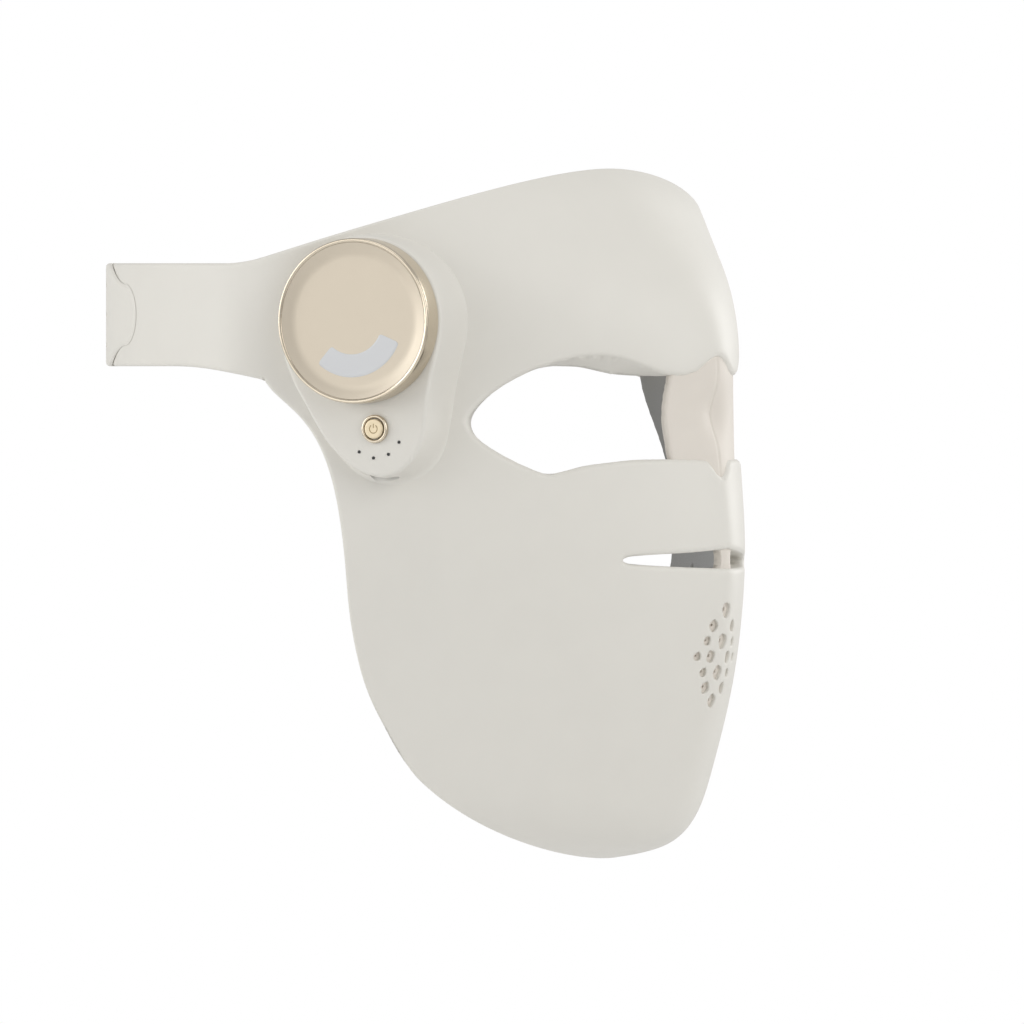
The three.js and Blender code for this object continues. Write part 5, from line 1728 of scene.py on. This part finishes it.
@dataclass
class Studio:
    """Floor, soft lights, sky and the camera."""

    target: tuple[float, float, float] = (14.15, 0.0, -27.7)
    azimuth: float = 40.0
    width: float = 302.08
    distance: float = 1.6
    floor_drop: float = 420.0
    floor_half: float = 4.0
    floor_greys: tuple[float, float] = (0.86, 0.9)
    sky_tint: tuple[float, float, float, float] = (0.985, 0.99, 1.0, 1)
    sky_strength: float = 0.54
    aim: tuple[float, float, float] = (0.03, 0, -0.02)
    panels: tuple[tuple[str, tuple[float, float, float], float, float], ...] = (
        ("key_panel", (0.95, -0.15, 0.35), 0.9, 4.1),
        ("fill_panel", (-1.0, -0.95, 0.3), 1.0, 6.6),
        ("side_panel", (-0.35, -1.5, 0.25), 1.1, 3.0),
        ("top_panel", (0.1, -0.1, 1.2), 1.0, 2.7),
        ("rim_panel", (0.25, 1.15, 0.25), 0.7, 4.4),
    )

    def build(self) -> None:
        """Builds the studio."""
        self._floor()
        self._sky()
        self._lights()
        self._camera()

    def _floor(self) -> None:
        """A wide pale floor, well under the mask."""
        mesh = bpy.data.meshes.new("floor")
        z, s = -self.floor_drop * MM, self.floor_half
        mesh.from_pydata([(-s, -s, z), (s, -s, z), (s, s, z), (-s, s, z)], [], [(0, 1, 2, 3)])
        floor = bpy.data.objects.new("floor", mesh)
        bpy.context.collection.objects.link(floor)
        mat = bpy.data.materials.new("pale_floor")
        mat.use_nodes = True
        nodes = {"where": ("TexCoord", {}), "noise": ("TexNoise", {"Scale": 3}), "ramp": ("ValToRGB", {})}
        links = ("where.Object > noise.Vector", "noise.Fac > ramp.Fac", "ramp.Color > Principled BSDF.Base Color")
        wire(mat.node_tree, nodes, links)
        for stop, grey in zip(mat.node_tree.nodes["ramp"].color_ramp.elements, self.floor_greys):
            stop.color = (grey, grey, grey, 1)
        mat.node_tree.nodes["Principled BSDF"].inputs["Roughness"].default_value = 0.8
        mesh.materials.append(mat)

    def _sky(self) -> None:
        """A soft grey sky for light, which the camera sees as white, also through glass."""
        world = bpy.data.worlds.new("sky")
        bpy.context.scene.world = world
        world.use_nodes = True
        light = world.node_tree.nodes["Background"]
        light.inputs["Color"].default_value = self.sky_tint
        light.inputs["Strength"].default_value = self.sky_strength
        nodes = {
            "seen": ("Background", {"Color": (1, 1, 1, 1)}),
            "path": ("LightPath", {}),
            "first": ("Math", {"operation": "MAXIMUM"}),
            "mix": ("MixShader", {}),
        }
        links = (
            "path.Is Camera Ray > first.0", "path.Is Transmission Ray > first.1", "first.0 > mix.Fac",
            "Background.0 > mix.1", "seen.0 > mix.2", "mix.0 > World Output.Surface",
        )
        wire(world.node_tree, nodes, links)

    def _lights(self) -> None:
        """Large soft panels: a key in front, two on the wearer's right, one above and one on the left."""
        for name, place, size, watts in self.panels:
            data = bpy.data.lights.new(name, "AREA")
            data.shape, data.size, data.energy = "DISK", size, watts
            lamp = bpy.data.objects.new(name, data)
            bpy.context.collection.objects.link(lamp)
            lamp.location = place
            lamp.rotation_euler = (Vector(self.aim) - Vector(place)).to_track_quat("-Z", "Y").to_euler()

    def _camera(self) -> None:
        """A far, level camera in parallel view at the photograph's angle."""
        data = bpy.data.cameras.new("camera")
        data.type = "ORTHO"
        data.ortho_scale = self.width * MM
        cam = bpy.data.objects.new("camera", data)
        bpy.context.collection.objects.link(cam)
        a = math.radians(self.azimuth)
        back = Vector((math.sin(a), -math.cos(a), 0))
        cam.location = Vector(self.target) * MM + back * self.distance
        cam.rotation_euler = (-back).to_track_quat("-Z", "Y").to_euler()
        data.clip_start, data.clip_end = 0.05, 20
        bpy.context.scene.camera = cam


def make_finishes() -> dict[str, bpy.types.Material]:
    """Every finish of the mask.

    Returns:
        Materials by short name.
    """
    groups = EffectGroups()
    axis = POD.place(np.array(POD.along), np.array(POD.height), np.array(0.0))
    turned = {"turned": True, "axis_place": tuple(axis), "axis_turn": (math.pi / 2, 0.0, POD.turn)}
    thin = {"metallic": 0.5, "bump_depth": 0.00003}
    rough = {"bump_depth": 0.0005, "grain_scale": 1400.0}
    finishes = (
        Finish("silicone", Tone.SILICONE, 0.94, 0.35, 9.0, (0.46, 0.56), bump=0.06, specular=0.45),
        Finish("ivory", Tone.IVORY, 0.93, 0.4, 16.0, (0.5, 0.6), bump=0.06, specular=0.4),
        Finish("smoke", Tone.SMOKE, 0.86, 0.4, 20.0, (0.3, 0.42), bump=0.04, specular=0.5, coat=0.15),
        Finish("gold", Tone.GOLD, 0.93, 0.3, 30.0, (0.2, 0.22), metallic=1.0, bump=0.012, bump_depth=0.00003, **turned),
        Finish("satin_gold", Tone.SATIN_GOLD, 0.96, 0.3, 30.0, (0.42, 0.46), bump=0.015, **thin),
        Finish("cap_gold", Tone.CAP_GOLD, 0.95, 0.3, 60.0, (0.34, 0.38), bump=0.02, **thin),
        Finish("engraving", Tone.ENGRAVING, 0.85, 0.4, 60.0, (0.4, 0.5), metallic=0.7, bump=0.04),
        Finish("frost", Tone.FROST, 0.97, 0.3, 40.0, (0.42, 0.5), bump=0.03, specular=0.4),
        Finish("ink", Tone.INK, 0.8, 0.3, 60.0, (0.2, 0.3), bump=0.03),
        Finish("board", Tone.BOARD, 0.7, 0.6, 90.0, (0.4, 0.6), bump=0.3),
        Finish("steel", Tone.STEEL, 0.85, 0.4, 60.0, (0.25, 0.4), metallic=1.0, bump=0.05),
        Finish("foil", Tone.FOIL, 0.8, 0.5, 50.0, (0.3, 0.5), metallic=0.6, bump=0.3, grain_scale=600.0),
        Finish("pale_plastic", Tone.PALE_PLASTIC, 0.93, 0.4, 30.0, (0.45, 0.6), bump=0.08),
        Finish("hooks", Tone.HOOKS, 0.75, 0.6, 200.0, (0.85, 0.95), bump=0.9, sheen=0.3, **rough),
    )
    return {f.name: f.make(groups) for f in finishes}


def main() -> None:
    """Builds the mask in order."""
    logging.basicConfig(level=logging.INFO, format="%(name)s %(message)s")
    finishes = make_finishes()
    Studio().build()
    band = HeadBand()
    FaceShell().build(finishes, band.edge_points())
    band.build(finishes)
    ControlPod().build(finishes)
    InnerParts().build(finishes)
    bpy.context.scene.view_settings.view_transform = "Standard"


if __name__ == "__main__":
    main()
